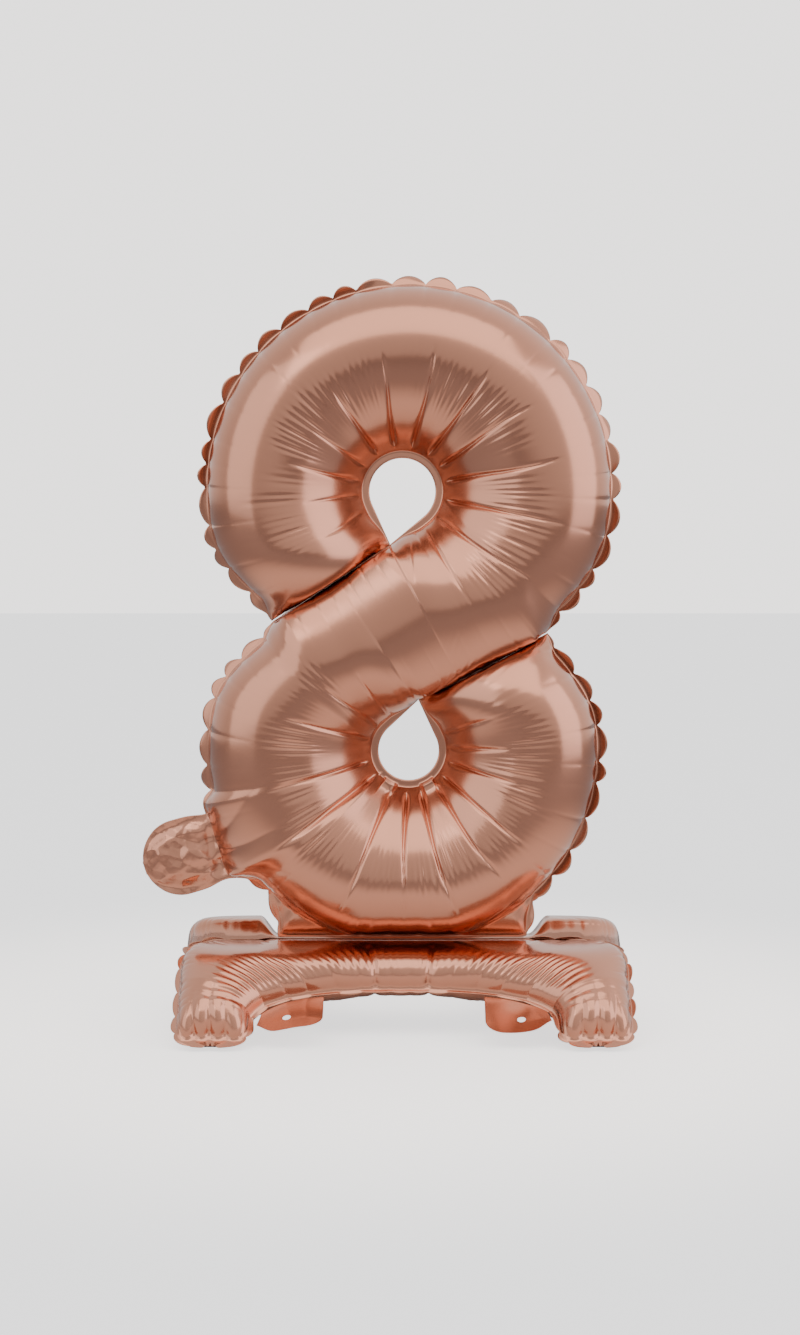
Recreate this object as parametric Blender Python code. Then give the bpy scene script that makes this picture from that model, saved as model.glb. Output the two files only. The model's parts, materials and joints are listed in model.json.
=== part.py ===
"""Free-standing foil figure eight on two inflated feet, in metres.

+Z is up, X runs across the figure and -Y is its front. The figure is two films welded at their
edges, so each film is its own open shell, and a small gap keeps the two apart at the weld.
"""

import math

import bpy
import numpy as np

# Film and welds
FILM = 0.001
WELD_GAP = 0.0003
WELD_RIM = 0.008
SLIT_RIM = 0.0015
SLIT_GAP = 0.0005

# Figure eight
HEIGHT = 0.720
UPPER_RADIUS = 0.202
LOWER_RADIUS = 0.196
UPPER_SHIFT = 0.005
LOWER_SHIFT = -0.001
UPPER_EYE_DROP = 0.204
UPPER_EYE_SHIFT = -0.0015
LOWER_EYE_RISE = 0.183
LOWER_EYE_SHIFT = 0.0045
UPPER_EYE_RADIUS = 0.0315
LOWER_EYE_RADIUS = 0.029
EYE_RIM = 0.007
EYE_TIP_REACH = 0.0205
UPPER_EYE_LEAVE = math.radians(-20)
LOWER_EYE_ENTER = math.radians(160)
EYE_LEAD = math.radians(55)
EYE_RIM_EASE = math.radians(40)
RIM_EASE = math.radians(9)
UPPER_TIP_TURN = math.radians(257)
LOWER_TIP_TURN = math.radians(79)
LEFT_NOTCH_SHIFT = -0.127
LEFT_NOTCH_SHARE = 0.498
RIGHT_NOTCH_SHIFT = 0.138
RIGHT_NOTCH_SHARE = 0.458
NOTCH_SPAN = math.radians(32)
TUBE_HALF_DEPTH = 0.057
TUBE_END = 0.050
END_RIM_SHARE = 0.3
STRAIGHT_CREST = 0.42
FLATTEST_START = 0.2
STEEPEST_START = 0.9999

# Neck weld, where both feet fold
NECK_HEIGHT = 0.084
NECK_HALF_WIDTH = 0.127
NECK_RIM = 0.004
NECK_GAP = 0.0005
NECK_SPAN = math.radians(72)
FOLD_REACH = 0.0022
FIGURE_SIDE_TURN = math.radians(70)
FOLD_IN = math.radians(8)
FOLD_OUT = math.radians(6)
FOLD_SPARE = math.radians(3)

# Feet
FOOT_SPLAY = math.radians(57)
FOOT_HALF_WIDTH = 0.2185
FOOT_BAND = 0.075
FOOT_SHOULDER = 0.040
LEG_WIDTH = 0.078
TOE_LIFT = 0.004
TOE_ROUND = 0.026
ARCH_POWER = 2.6
FOOT_RIM = 0.005
FOOT_CREST = 0.40
FOOT_UNDER_CREST = 0.42
TOE_END = 0.030

# Filler tail
TAIL_PLACE = math.radians(207.4)
TAIL_TURN = math.radians(197)
TAIL_ROOT_REACH = 0.204
TAIL_LENGTH = 0.072
TAIL_HALF_WIDTH = 0.037
TAIL_RIM = 0.006
TAIL_POCKET = 0.0045
TAIL_FOLD_REACH = 0.003
TAIL_END_SHARE = 0.97
TAIL_OPENING = 0.020
TAIL_CLOSING = 0.012
THROAT_TURN = math.radians(5)
THROAT_SPAN = math.radians(15)
THROAT_EASE = math.radians(5)
THROAT_LIFT = 0.0016
THROAT_EDGE = 0.006
THROAT_SPARE = 0.014
THROAT_DEPTH = 0.050

# Self-sealing valve
VALVE_SHEET = 0.0005
VALVE_HALF_WIDTH = 0.022
VALVE_LENGTH = 0.090
VALVE_INLET_LENGTH = 0.050

# Tie tabs, cut in one with the feet and lying in their plane
TAB_FROM_LEG = 0.0065
TAB_WIDTH = 0.058
TAB_REACH = 0.052
TAB_CORNER = 0.012
TAB_HOLE_RADIUS = 0.004
TAB_HOLE_FROM_SIDE = 0.024
TAB_HOLE_REACH = 0.032
TAB_FOLD_REACH = 0.003

# Mesh steps
LOOP_STEPS = 34
SIDE_STEPS = 5
ACROSS_STEPS = 8
FOOT_STEPS = 4
FOOT_ACROSS_STEPS = 6
TAB_RIM_STEPS = 6
TAB_CORNER_STEPS = 5
HOLE_STEPS = 24
PROFILE_STEPS = 400
PROFILE_ROUNDS = 40
ARCH_STEPS = 200
TAIL_STEPS = np.concatenate([np.linspace(0, 0.9, 10), [0.94, 0.97, 1.0]])
TAIL_SPREAD = np.linspace(-1, 1, 9)

ROSE_FILM = (0.62, 0.30, 0.22, 1.0)
SILVER_FILM = (0.55, 0.53, 0.52, 1.0)
CLEAR_FILM = (0.80, 0.80, 0.78, 1.0)

UPPER_CENTRE = (UPPER_SHIFT, HEIGHT - UPPER_RADIUS)
UPPER_EYE = (UPPER_EYE_SHIFT, HEIGHT - UPPER_EYE_DROP)
LOWER_EYE = (LOWER_EYE_SHIFT, NECK_HEIGHT + LOWER_EYE_RISE)
LOWER_CENTRE = (LOWER_SHIFT, LOWER_EYE[1])
EYE_SPACING = UPPER_EYE[1] - LOWER_EYE[1]
LEFT_NOTCH = (LEFT_NOTCH_SHIFT, LOWER_EYE[1] + LEFT_NOTCH_SHARE * EYE_SPACING)
RIGHT_NOTCH = (RIGHT_NOTCH_SHIFT, LOWER_EYE[1] + RIGHT_NOTCH_SHARE * EYE_SPACING)
FOOT_LENGTH = (NECK_HEIGHT - TOE_LIFT) / math.cos(FOOT_SPLAY)
LEG_INNER = FOOT_HALF_WIDTH - LEG_WIDTH
TAB_OUTER = LEG_INNER - TAB_FROM_LEG
TAB_INNER = TAB_OUTER - TAB_WIDTH
TAB_HOLE_PLACE = TAB_OUTER - TAB_HOLE_FROM_SIDE
FACE = WELD_GAP / 2 + FILM


def clear_scene():
    for obj in list(bpy.data.objects):
        bpy.data.objects.remove(obj, do_unlink=True)


def film_material(name, colour, roughness, metallic):
    material = bpy.data.materials.new(name)
    material.use_nodes = True
    shader = material.node_tree.nodes["Principled BSDF"]
    shader.inputs["Base Color"].default_value = colour
    shader.inputs["Roughness"].default_value = roughness
    shader.inputs["Metallic"].default_value = metallic
    return material


def smooth(value):
    value = np.clip(value, 0.0, 1.0)
    return value * value * (3 - 2 * value)


def polar(centre, radius, turn):
    return np.stack([centre[0] + radius * np.cos(turn), centre[1] + radius * np.sin(turn)], -1)


def ring_profile(ratio):
    """Height across a foil ring, from its inner weld to its outer weld, with a crest of 1.

    A thin film with no hoop tension rises at an angle whose sine falls evenly with the enclosed
    area, and the start angle is the one that brings it back to the weld.
    """
    def rise(start):
        angle = np.linspace(math.asin(start), -math.pi / 2, PROFILE_STEPS)
        area = (start - np.sin(angle)) / (1 + start)
        radius = np.sqrt(ratio**2 + area * (1 - ratio**2))
        step = np.diff(radius)
        slope = np.tan((angle[1:] + angle[:-1]) / 2)
        height = np.concatenate([[0.0], np.cumsum(slope * step)])
        return (radius - ratio) / (1 - ratio), height

    low, high = FLATTEST_START, STEEPEST_START
    for _ in range(PROFILE_ROUNDS):
        middle = (low + high) / 2
        if rise(middle)[1][-1] > 0:
            high = middle
        else:
            low = middle
    across, height = rise(low)
    return across, np.maximum(height, 0.0) / height.max()


def straight_profile(across):
    return np.sqrt(np.maximum(0.0, 1 - (2 * across - 1) ** 2))


def end_rise(distance, reach):
    left = 1 - np.clip(distance / reach, 0.0, 1.0)
    return np.sqrt(1 - left * left)


def turn_of(point, centre):
    return math.atan2(point[1] - centre[1], point[0] - centre[0])


def outline_radius(turn, radius, ends):
    """Radius of a loop's outline, easing to the waist notch at both of its ends."""
    result = np.full_like(turn, radius)
    for end_turn, end_radius in ends:
        near = smooth(1 - np.abs(turn - end_turn) / NOTCH_SPAN)
        result -= (radius - end_radius) * near
    return result


def neck_radius(turn, radius):
    """Lower outline with the square shoulders of the neck added and the neck weld cut straight."""
    drop = LOWER_CENTRE[1] - NECK_HEIGHT - NECK_GAP
    nearly_flat = 1e-6
    level = drop / np.maximum(-np.sin(turn), nearly_flat)
    side = NECK_HALF_WIDTH / np.maximum(np.abs(np.cos(turn)), nearly_flat)
    below = np.abs(turn - 1.5 * math.pi) < NECK_SPAN
    return np.where(below, np.minimum(np.maximum(radius, side), level), radius)


def tail_frame():
    """Middle of the tail's fold, and the directions out along the tail and across it."""
    root = polar(LOWER_CENTRE, TAIL_ROOT_REACH, TAIL_PLACE)
    out = np.array([math.cos(TAIL_TURN), math.sin(TAIL_TURN)])
    return root, out, np.array([-out[1], out[0]])


def throat_radius(turn, radius):
    """Lower outline drawn out to the straight fold where the tail begins."""
    root, out, across = tail_frame()
    reach = (root - LOWER_CENTRE) @ out
    away = np.minimum(np.abs(turn - TAIL_TURN), 2 * THROAT_SPAN)
    line = reach / np.cos(away)
    centre_turn = (TAIL_PLACE + TAIL_TURN) / 2 + THROAT_TURN
    inside = smooth((THROAT_SPAN - np.abs(turn - centre_turn)) / THROAT_EASE)
    return radius + (line - radius) * inside


def eye_radius(turn, clear_radius, tip_turn):
    """Edge of an eye: a circle drawn out to a tip by its two tangents."""
    reach = clear_radius + EYE_TIP_REACH
    touch = math.acos(clear_radius / reach)
    away = np.abs((turn - tip_turn + math.pi) % (2 * math.pi) - math.pi)
    tangent = clear_radius / np.cos(touch - np.minimum(away, touch))
    return np.where(away < touch, tangent, clear_radius)


def eye_rim(turn, tip_turn):
    away = np.abs((turn - tip_turn + math.pi) % (2 * math.pi) - math.pi)
    return SLIT_RIM + (EYE_RIM - SLIT_RIM) * smooth(away / EYE_RIM_EASE)


def eye_edge(turn, centre, clear_radius, tip_turn):
    radius = eye_radius(turn, clear_radius, tip_turn)
    rim = eye_rim(turn, tip_turn)
    return polar(centre, radius, turn), polar(centre, radius + rim, turn)


def outer_edge(turn, centre, radius, rim):
    return polar(centre, radius, turn), polar(centre, radius - rim, turn)


def slit_edge(start, end, share, side):
    """One side of a slit, from its start to its end, with a narrow weld rim beside it."""
    start = np.array(start)
    along = np.array(end) - start
    normal = np.array([-along[1], along[0]]) / np.linalg.norm(along) * side
    line = start + share[:, None] * along
    return line + normal * SLIT_GAP / 2, line + normal * (SLIT_GAP / 2 + SLIT_RIM)


def upper_tip():
    radius = UPPER_EYE_RADIUS + EYE_TIP_REACH
    return polar(UPPER_EYE, radius, UPPER_TIP_TURN)


def lower_tip():
    radius = LOWER_EYE_RADIUS + EYE_TIP_REACH
    return polar(LOWER_EYE, radius, LOWER_TIP_TURN)


def wrapped_turns(first, last, steps, corners=()):
    """Even steps from first to last, with any corners added exactly."""
    even = np.linspace(first, last, steps + 1)
    for corner in corners:
        nearest = 1 + np.argmin(np.abs(even[1:-1] - corner))
        even[nearest] = corner
    return even


def upper_loop_sides():
    """Both sides of the upper loop, from the left slit round to the right notch."""
    left = turn_of(LEFT_NOTCH, UPPER_CENTRE) + 2 * math.pi
    right = turn_of(RIGHT_NOTCH, UPPER_CENTRE)
    turn = wrapped_turns(left, right, LOOP_STEPS, [math.pi / 2])
    ends = [
        (left, math.dist(LEFT_NOTCH, UPPER_CENTRE)),
        (right, math.dist(RIGHT_NOTCH, UPPER_CENTRE)),
    ]
    radius = outline_radius(turn, UPPER_RADIUS, ends)
    near_end = smooth(np.minimum(turn - right, left - turn) / RIM_EASE)
    rim = SLIT_RIM + (WELD_RIM - SLIT_RIM) * near_end
    outer = outer_edge(turn, UPPER_CENTRE, radius, rim)
    lead = (UPPER_TIP_TURN - left) * smooth(1 - (left - turn) / EYE_LEAD)
    lag = (UPPER_EYE_LEAVE - right) * smooth(1 - (turn - right) / EYE_LEAD)
    inner = eye_edge(turn + lead + lag, UPPER_EYE, UPPER_EYE_RADIUS, UPPER_TIP_TURN)
    return inner, outer


def lower_loop_sides():
    """Both sides of the lower loop, from the left notch round to the right slit."""
    left = turn_of(LEFT_NOTCH, LOWER_CENTRE)
    right = turn_of(RIGHT_NOTCH, LOWER_CENTRE) + 2 * math.pi
    drop = LOWER_CENTRE[1] - NECK_HEIGHT
    corner = math.atan2(drop, NECK_HALF_WIDTH)
    shoulder = math.acos(NECK_HALF_WIDTH / LOWER_RADIUS)
    corners = [math.pi + shoulder, math.pi + corner, 2 * math.pi - corner, 2 * math.pi - shoulder]
    turn = wrapped_turns(left, right, LOOP_STEPS, corners)
    ends = [
        (left, math.dist(LEFT_NOTCH, LOWER_CENTRE)),
        (right, math.dist(RIGHT_NOTCH, LOWER_CENTRE)),
    ]
    radius = outline_radius(turn, LOWER_RADIUS, ends)
    radius = throat_radius(turn, neck_radius(turn, radius))
    near_end = smooth(np.minimum(turn - left, right - turn) / RIM_EASE)
    rim = SLIT_RIM + (WELD_RIM - SLIT_RIM) * near_end
    off_neck = smooth((np.abs(turn - 1.5 * math.pi) - math.pi / 2 + corner) / RIM_EASE)
    rim = np.minimum(rim, NECK_RIM + (WELD_RIM - NECK_RIM) * off_neck)
    outer = outer_edge(turn, LOWER_CENTRE, radius, rim)
    lead = (LOWER_EYE_ENTER - left) * smooth(1 - (turn - left) / EYE_LEAD)
    lag = (LOWER_TIP_TURN + 2 * math.pi - right) * smooth(1 - (right - turn) / EYE_LEAD)
    inner = eye_edge(turn + lead + lag, LOWER_EYE, LOWER_EYE_RADIUS, LOWER_TIP_TURN)
    return outer, inner


def share_beside(point, start, end):
    """How far along the line from start to end a point lies, as a share of it."""
    along = np.array(end) - start
    return float((np.array(point) - start) @ along / (along @ along))


def figure_sides():
    """The two sides of the one long tube as edge and weld points, and its place along the eight.

    The tube runs from the left slit over the upper eye, down the middle, and under the lower eye
    to the right slit. Its place is -1 in the upper loop, 0 in the middle and 1 in the lower loop.
    """
    top = upper_tip()
    low = lower_tip()
    near_low = share_beside(top, low, RIGHT_NOTCH)
    near_top = share_beside(low, top, LEFT_NOTCH)
    side = np.linspace(0, 1, SIDE_STEPS + 1)
    down_turn = UPPER_EYE_LEAVE + (UPPER_TIP_TURN - 2 * math.pi - UPPER_EYE_LEAVE) * side[1:]
    up_turn = LOWER_TIP_TURN + (LOWER_EYE_ENTER - LOWER_TIP_TURN) * side[1:-1]
    upper_inner, upper_outer = upper_loop_sides()
    lower_outer, lower_inner = lower_loop_sides()
    rows_a = [
        upper_inner,
        eye_edge(down_turn, UPPER_EYE, UPPER_EYE_RADIUS, UPPER_TIP_TURN),
        slit_edge(top, LEFT_NOTCH, near_top * side[1:], 1),
        slit_edge(top, LEFT_NOTCH, near_top + (1 - near_top) * side[1:-1], 1),
        lower_outer,
    ]
    rows_b = [
        upper_outer,
        slit_edge(RIGHT_NOTCH, low, (1 - near_low) * side[1:], -1),
        slit_edge(RIGHT_NOTCH, low, 1 - near_low + near_low * side[1:], -1),
        eye_edge(up_turn, LOWER_EYE, LOWER_EYE_RADIUS, LOWER_TIP_TURN),
        lower_inner,
    ]
    loop = np.ones(LOOP_STEPS + 1)
    place = np.concatenate([-loop, side[1:] - 1, 0 * side[1:], side[1:-1], loop])
    edge_a, weld_a = (np.concatenate([row[i] for row in rows_a]) for i in (0, 1))
    edge_b, weld_b = (np.concatenate([row[i] for row in rows_b]) for i in (0, 1))
    return edge_a, weld_a, edge_b, weld_b, place


def part_slits(rows):
    """Moves the tube's two end lines off the slits, so that they clear the sides they meet."""
    slits = ((0, upper_tip(), LEFT_NOTCH, -1), (-1, RIGHT_NOTCH, lower_tip(), 1))
    for index, start, end, side in slits:
        along = np.array(end) - start
        normal = np.array([-along[1], along[0]]) / np.linalg.norm(along) * side
        for row in rows:
            row[index] = row[index] + normal * SLIT_GAP


def with_end_rims(row):
    """Adds the weld rim's inner line beside the first and last lines of a tube."""
    first = row[0] + END_RIM_SHARE * (row[1] - row[0])
    last = row[-1] + END_RIM_SHARE * (row[-2] - row[-1])
    return np.concatenate([row[:1], [first], row[1:-1], [last], row[-1:]])


def tube_rows(edge_a, weld_a, edge_b, weld_b, across):
    """Flat positions of every line along a tube, from edge A over both welds to edge B."""
    inner = [weld_a + share * (weld_b - weld_a) for share in across]
    return np.stack([edge_a, *inner, edge_b], 1)


def end_distance(rows):
    """Distance of each line of a tube from the nearer welded end, along the tube's middle."""
    middle = rows[:, rows.shape[1] // 2]
    length = np.concatenate([[0.0], np.cumsum(np.linalg.norm(np.diff(middle, axis=0), axis=1))])
    return np.maximum(0.0, np.minimum(length - length[1], length[-2] - length))


def even_across(steps):
    return (1 - np.cos(np.linspace(0, math.pi, steps + 1))) / 2


def with_flat_rims(height):
    return np.pad(height, ((0, 0), (1, 1)))


def film_sheet(name, points, flip, material):
    """A film from a grid of points on its outer face, given its thickness inwards."""
    lines, across = points.shape[:2]
    index = np.arange(lines * across).reshape(lines, across)
    quads = np.stack([index[:-1, :-1], index[1:, :-1], index[1:, 1:], index[:-1, 1:]], -1).reshape(-1, 4)
    if flip:
        quads = quads[:, ::-1]
    mesh = bpy.data.meshes.new(name)
    mesh.from_pydata(points.reshape(-1, 3).tolist(), [], quads.tolist())
    mesh.shade_smooth()
    mesh.materials.append(material)
    film = bpy.data.objects.new(name, mesh)
    bpy.context.collection.objects.link(film)
    solidify = film.modifiers.new("Film", "SOLIDIFY")
    solidify.thickness = FILM
    solidify.offset = -1
    solidify.use_even_offset = False
    return film


def figure_point_rows():
    edge_a, weld_a, edge_b, weld_b, place = figure_sides()
    part_slits((edge_a, weld_a, edge_b, weld_b))
    sides = [with_end_rims(row) for row in (edge_a, weld_a, edge_b, weld_b)]
    place = with_end_rims(place)
    across = even_across(ACROSS_STEPS)
    rows = tube_rows(*sides, across)
    width = np.linalg.norm(sides[3] - sides[1], axis=1)
    upper_across, upper_height = ring_profile((UPPER_EYE_RADIUS + EYE_RIM) / (UPPER_RADIUS - WELD_RIM))
    lower_across, lower_height = ring_profile((LOWER_EYE_RADIUS + EYE_RIM) / (LOWER_RADIUS - WELD_RIM))
    upper = np.interp(across, upper_across, upper_height)
    lower = np.interp(1 - across, lower_across, lower_height)
    straight = straight_profile(across)
    in_upper = smooth(-place)[:, None]
    in_lower = smooth(place)[:, None]
    ring = TUBE_HALF_DEPTH * (in_upper * upper + in_lower * lower)
    middle = (1 - in_upper - in_lower) * straight * (STRAIGHT_CREST * width)[:, None]
    height = (ring + middle) * end_rise(end_distance(rows), TUBE_END)[:, None]
    return rows, with_flat_rims(height)


def throat_lift(flat):
    """How far each film stands off where the valve passes between the two."""
    root, out, across = tail_frame()
    depth = (flat - root) @ out
    aside = np.abs((flat - root) @ across)
    beside = smooth((VALVE_HALF_WIDTH + THROAT_SPARE - aside) / THROAT_EDGE)
    return THROAT_LIFT * beside * smooth((depth + THROAT_DEPTH) / TAIL_OPENING)


def figure_film(name, side, material):
    rows, height = figure_point_rows()
    depth = FACE + np.maximum(height, throat_lift(rows))
    above_neck = np.maximum(0.0, rows[..., 1] - NECK_HEIGHT)
    depth = np.minimum(depth, FACE + above_neck * math.tan(FIGURE_SIDE_TURN))
    points = np.stack([rows[..., 0], side * depth, rows[..., 1]], -1)
    return film_sheet(name, points, side > 0, material)


def arch_point(share):
    """Point on the arch from its middle, at share 0, to the top of a leg's inner side, at 1."""
    end = FOOT_LENGTH - TOE_ROUND
    turn = share * math.pi / 2
    x = LEG_INNER * np.maximum(np.sin(turn), 0.0) ** (2 / ARCH_POWER)
    reach = end - (end - FOOT_BAND) * np.maximum(np.cos(turn), 0.0) ** (2 / ARCH_POWER)
    return np.stack([x, reach], -1)


def quarter(centre, radius, first, last, steps):
    return polar(centre, radius, np.linspace(first, last, steps + 1))


def foot_half():
    """Arch side and top side of the right half of a foot, as (x, reach from the fold) points."""
    steps = FOOT_STEPS
    quarter_turn = math.pi / 2
    shoulder = (FOOT_HALF_WIDTH - FOOT_SHOULDER, FOLD_REACH + FOOT_SHOULDER)
    line = np.linspace(0, 1, steps + 1)[:, None]
    top = line * [shoulder[0], 0] + [0, FOLD_REACH]
    corner = quarter(shoulder, FOOT_SHOULDER, -quarter_turn, 0, steps)
    toe_start = FOOT_LENGTH - TOE_ROUND
    side = np.array([FOOT_HALF_WIDTH, shoulder[1]]) + line * [0, toe_start - shoulder[1]]
    outer_toe = (FOOT_HALF_WIDTH - TOE_ROUND, toe_start)
    toe = quarter(outer_toe, TOE_ROUND, 0, quarter_turn, steps // 2)
    arch = arch_point(np.linspace(0, 1, 3 * steps + 1))
    inner_toe = (LEG_INNER + TOE_ROUND, toe_start)
    arch_toe = quarter(inner_toe, TOE_ROUND, math.pi, quarter_turn, steps // 2)
    arch_side = np.concatenate([arch, arch_toe[1:]])
    top_side = np.concatenate([top, corner[1:], side[1:], toe[1:]])
    return arch_side, top_side


def mirrored(half):
    return np.concatenate([half[:0:-1] * [-1, 1], half])


def foot_rows():
    arch, top = foot_half()
    edge_a = with_end_rims(mirrored(arch))
    edge_b = with_end_rims(mirrored(top))
    rib = edge_b - edge_a
    width = np.linalg.norm(rib, axis=1)
    rim = FOOT_RIM * rib / width[:, None]
    across = even_across(FOOT_ACROSS_STEPS)
    rows = tube_rows(edge_a, edge_a + rim, edge_b, edge_b - rim, across)
    crest = np.minimum(width - 2 * FOOT_RIM, LEG_WIDTH)
    rise = end_rise(end_distance(rows), TOE_END)
    return rows, with_flat_rims(straight_profile(across) * (crest * rise)[:, None])


def foot_place(flat, height):
    """Distance out and height above the floor of points raised by height from a foot's flat plane."""
    out = flat[..., 1] * math.sin(FOOT_SPLAY) + height * math.cos(FOOT_SPLAY)
    up = NECK_HEIGHT - flat[..., 1] * math.cos(FOOT_SPLAY) + height * math.sin(FOOT_SPLAY)
    return out, up


def foot_film(name, side, upper, material):
    """One film of a foot. The upper one stays under the figure's neck as the foot folds out, and
    the lower one stays clear of the other foot as it folds in and lies flat on the floor."""
    rows, height = foot_rows()
    if upper:
        out, up = foot_place(rows, FACE + height * FOOT_CREST)
        lean = FIGURE_SIDE_TURN + FOLD_OUT + FOLD_SPARE
        ceiling = NECK_HEIGHT + np.maximum(out, 0.0) / math.tan(lean)
        up = np.minimum(up, ceiling)
    else:
        out, up = foot_place(rows, -FACE - height * FOOT_UNDER_CREST)
        nearest = WELD_GAP + np.maximum(NECK_HEIGHT - up, 0.0) * math.tan(FOLD_IN + FOLD_SPARE)
        out = np.maximum(out, nearest)
        up = np.maximum(up, 0.0)
    points = np.stack([rows[..., 0], side * out, up], -1)
    return film_sheet(name, points, upper == (side > 0), material)


def tail_half_width(share):
    """Half width along the tail: straight from its fold, then round at its free end."""
    straight = 1 - TAIL_HALF_WIDTH / TAIL_LENGTH
    into = np.clip((share - straight) / (1 - straight), 0.0, TAIL_END_SHARE)
    return TAIL_HALF_WIDTH * np.sqrt(1 - into**2)


def tail_rows(along, spread):
    """Flat points of the tail by their share along it and their spread across it, rims included."""
    root, out, across = tail_frame()
    half = tail_half_width(along)[:, None]
    aside = np.concatenate([-half, (half - TAIL_RIM) * spread, half], 1)
    reach = TAIL_FOLD_REACH + along[:, None] * (TAIL_LENGTH - TAIL_FOLD_REACH) + 0 * aside
    return root + reach[..., None] * out + aside[..., None] * across, aside


def tail_film(name, side, material):
    along = TAIL_STEPS
    flat, aside = tail_rows(along, TAIL_SPREAD)
    opened = smooth(along * TAIL_LENGTH / TAIL_OPENING)
    closed = smooth((TAIL_LENGTH - TAIL_RIM - along * TAIL_LENGTH) / TAIL_CLOSING)
    pocket = TAIL_POCKET * (opened * closed)[:, None] * np.sqrt(1 - TAIL_SPREAD**2)
    beside = smooth((VALVE_HALF_WIDTH + THROAT_SPARE - np.abs(aside)) / THROAT_EDGE)
    height = np.maximum(with_flat_rims(pocket), THROAT_LIFT * beside * closed[:, None])
    points = np.stack([flat[..., 0], side * (FACE + height), flat[..., 1]], -1)
    return film_sheet(name, points, side < 0, material)


def plate(name, corners, near, far, material):
    """A flat piece from its outline in the XZ plane, between two depths along Y."""
    count = len(corners)
    points = [(x, near, z) for x, z in corners] + [(x, far, z) for x, z in corners]
    faces = [tuple(range(count)), tuple(range(2 * count - 1, count - 1, -1))]
    for i in range(count):
        after = (i + 1) % count
        faces.append((after, i, i + count, after + count))
    mesh = bpy.data.meshes.new(name)
    mesh.from_pydata(points, [], faces)
    mesh.materials.append(material)
    piece = bpy.data.objects.new(name, mesh)
    bpy.context.collection.objects.link(piece)
    return piece


def valve_sheet(name, side, first, last, material):
    """One leaf of the valve, between two distances along the tail from its fold."""
    root, out, across = tail_frame()
    corners = [
        root + reach * out + aside * across
        for reach, aside in (
            (first, -VALVE_HALF_WIDTH),
            (last, -VALVE_HALF_WIDTH),
            (last, VALVE_HALF_WIDTH),
            (first, VALVE_HALF_WIDTH),
        )
    ]
    near = WELD_GAP / 2
    depths = sorted((side * near, side * (near + VALVE_SHEET)))
    return plate(name, corners, *depths, material)


def arch_reach(x):
    """Reach of the arch at one distance from the middle."""
    points = arch_point(np.linspace(0, 1, ARCH_STEPS))
    return float(np.interp(x, points[:, 0], points[:, 1]))


def tab_fold_reach():
    return arch_reach(TAB_INNER)


def tab_outline():
    """Outline in the foot's plane: a top edge that follows the arch, and a round-cornered end."""
    steps = np.linspace(TAB_INNER, TAB_OUTER, TAB_RIM_STEPS + 1)
    rim = [(x, arch_reach(x) + TAB_FOLD_REACH) for x in steps]
    low = tab_fold_reach() + TAB_REACH - TAB_CORNER
    turn = math.pi / 2
    outer = quarter((TAB_OUTER - TAB_CORNER, low), TAB_CORNER, 0, turn, TAB_CORNER_STEPS)
    inner = quarter((TAB_INNER + TAB_CORNER, low), TAB_CORNER, turn, 2 * turn, TAB_CORNER_STEPS)
    return rim + [tuple(point) for point in outer] + [tuple(point) for point in inner]


def tab_hole_centre():
    return TAB_HOLE_PLACE, tab_fold_reach() + TAB_HOLE_REACH


def tie_tab(name, side, hand, material):
    """A tab with its punched hole, made flat and then laid in its foot's plane."""
    tab = plate(name, tab_outline(), -FILM / 2, FILM / 2, material)
    hole_x, hole_reach = tab_hole_centre()
    turns = np.linspace(0, 2 * math.pi, HOLE_STEPS + 1)[:-1]
    ring = polar((hole_x, hole_reach), TAB_HOLE_RADIUS, turns)
    punch = plate(name + "_punch", [tuple(point) for point in ring[::-1]], -FILM, FILM, material)
    punch.hide_render = True
    punch.display_type = "WIRE"
    cut = tab.modifiers.new("Punched hole", "BOOLEAN")
    cut.operation = "DIFFERENCE"
    cut.solver = "EXACT"
    cut.object = punch
    for piece in (tab, punch):
        lay_in_foot_plane(piece.data, side, hand)
    return tab, punch


def lay_in_foot_plane(mesh, side, hand):
    """Turns a flat outline of (x, thickness, reach) points into place on one foot."""
    for vertex in mesh.vertices:
        x, height, reach = vertex.co
        out, up = foot_place(np.array([x, reach]), height)
        vertex.co = (hand * x, side * float(out), float(up))
    mirrored_once = (side < 0) == (hand > 0)
    if mirrored_once:
        mesh.flip_normals()


def fold_axis(name, place, parent=None):
    """An empty on a fold's axis, so that whatever hangs on it turns about that fold."""
    empty = bpy.data.objects.new(name, None)
    bpy.context.collection.objects.link(empty)
    empty.location = place
    hang_on(empty, parent)
    return empty


def hang_on(obj, parent):
    """Parents an object without moving it. Every parent is unturned, so places only subtract."""
    if parent is not None:
        obj.parent = parent
        above = parent
        while above is not None:
            obj.location -= above.location
            above = above.parent


def centre_on_base():
    """Moves everything so that the middle of the whole width stands over the origin."""
    flat, _ = tail_rows(TAIL_STEPS, TAIL_SPREAD)
    shift = -(flat[..., 0].min() + FOOT_HALF_WIDTH) / 2
    for obj in bpy.data.objects:
        if obj.parent is None:
            obj.location.x += shift


def build_foot(word, side, material):
    """One foot on its fold at the neck, with its two tabs on their own folds."""
    fold = fold_axis(word + "_foot_fold", (0.0, 0.0, NECK_HEIGHT))
    hang_on(foot_film(word + "_foot_upper_film", side, True, material), fold)
    hang_on(foot_film(word + "_foot_lower_film", side, False, material), fold)
    out, up = foot_place(np.array([0.0, tab_fold_reach()]), 0.0)
    for hand_word, hand in (("left", -1), ("right", 1)):
        name = f"{word}_{hand_word}_tab"
        place = (hand * tab_hole_centre()[0], side * float(out), float(up))
        tab_fold = fold_axis(name + "_fold", place, fold)
        for piece in tie_tab(name, side, hand, material):
            hang_on(piece, tab_fold)


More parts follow.
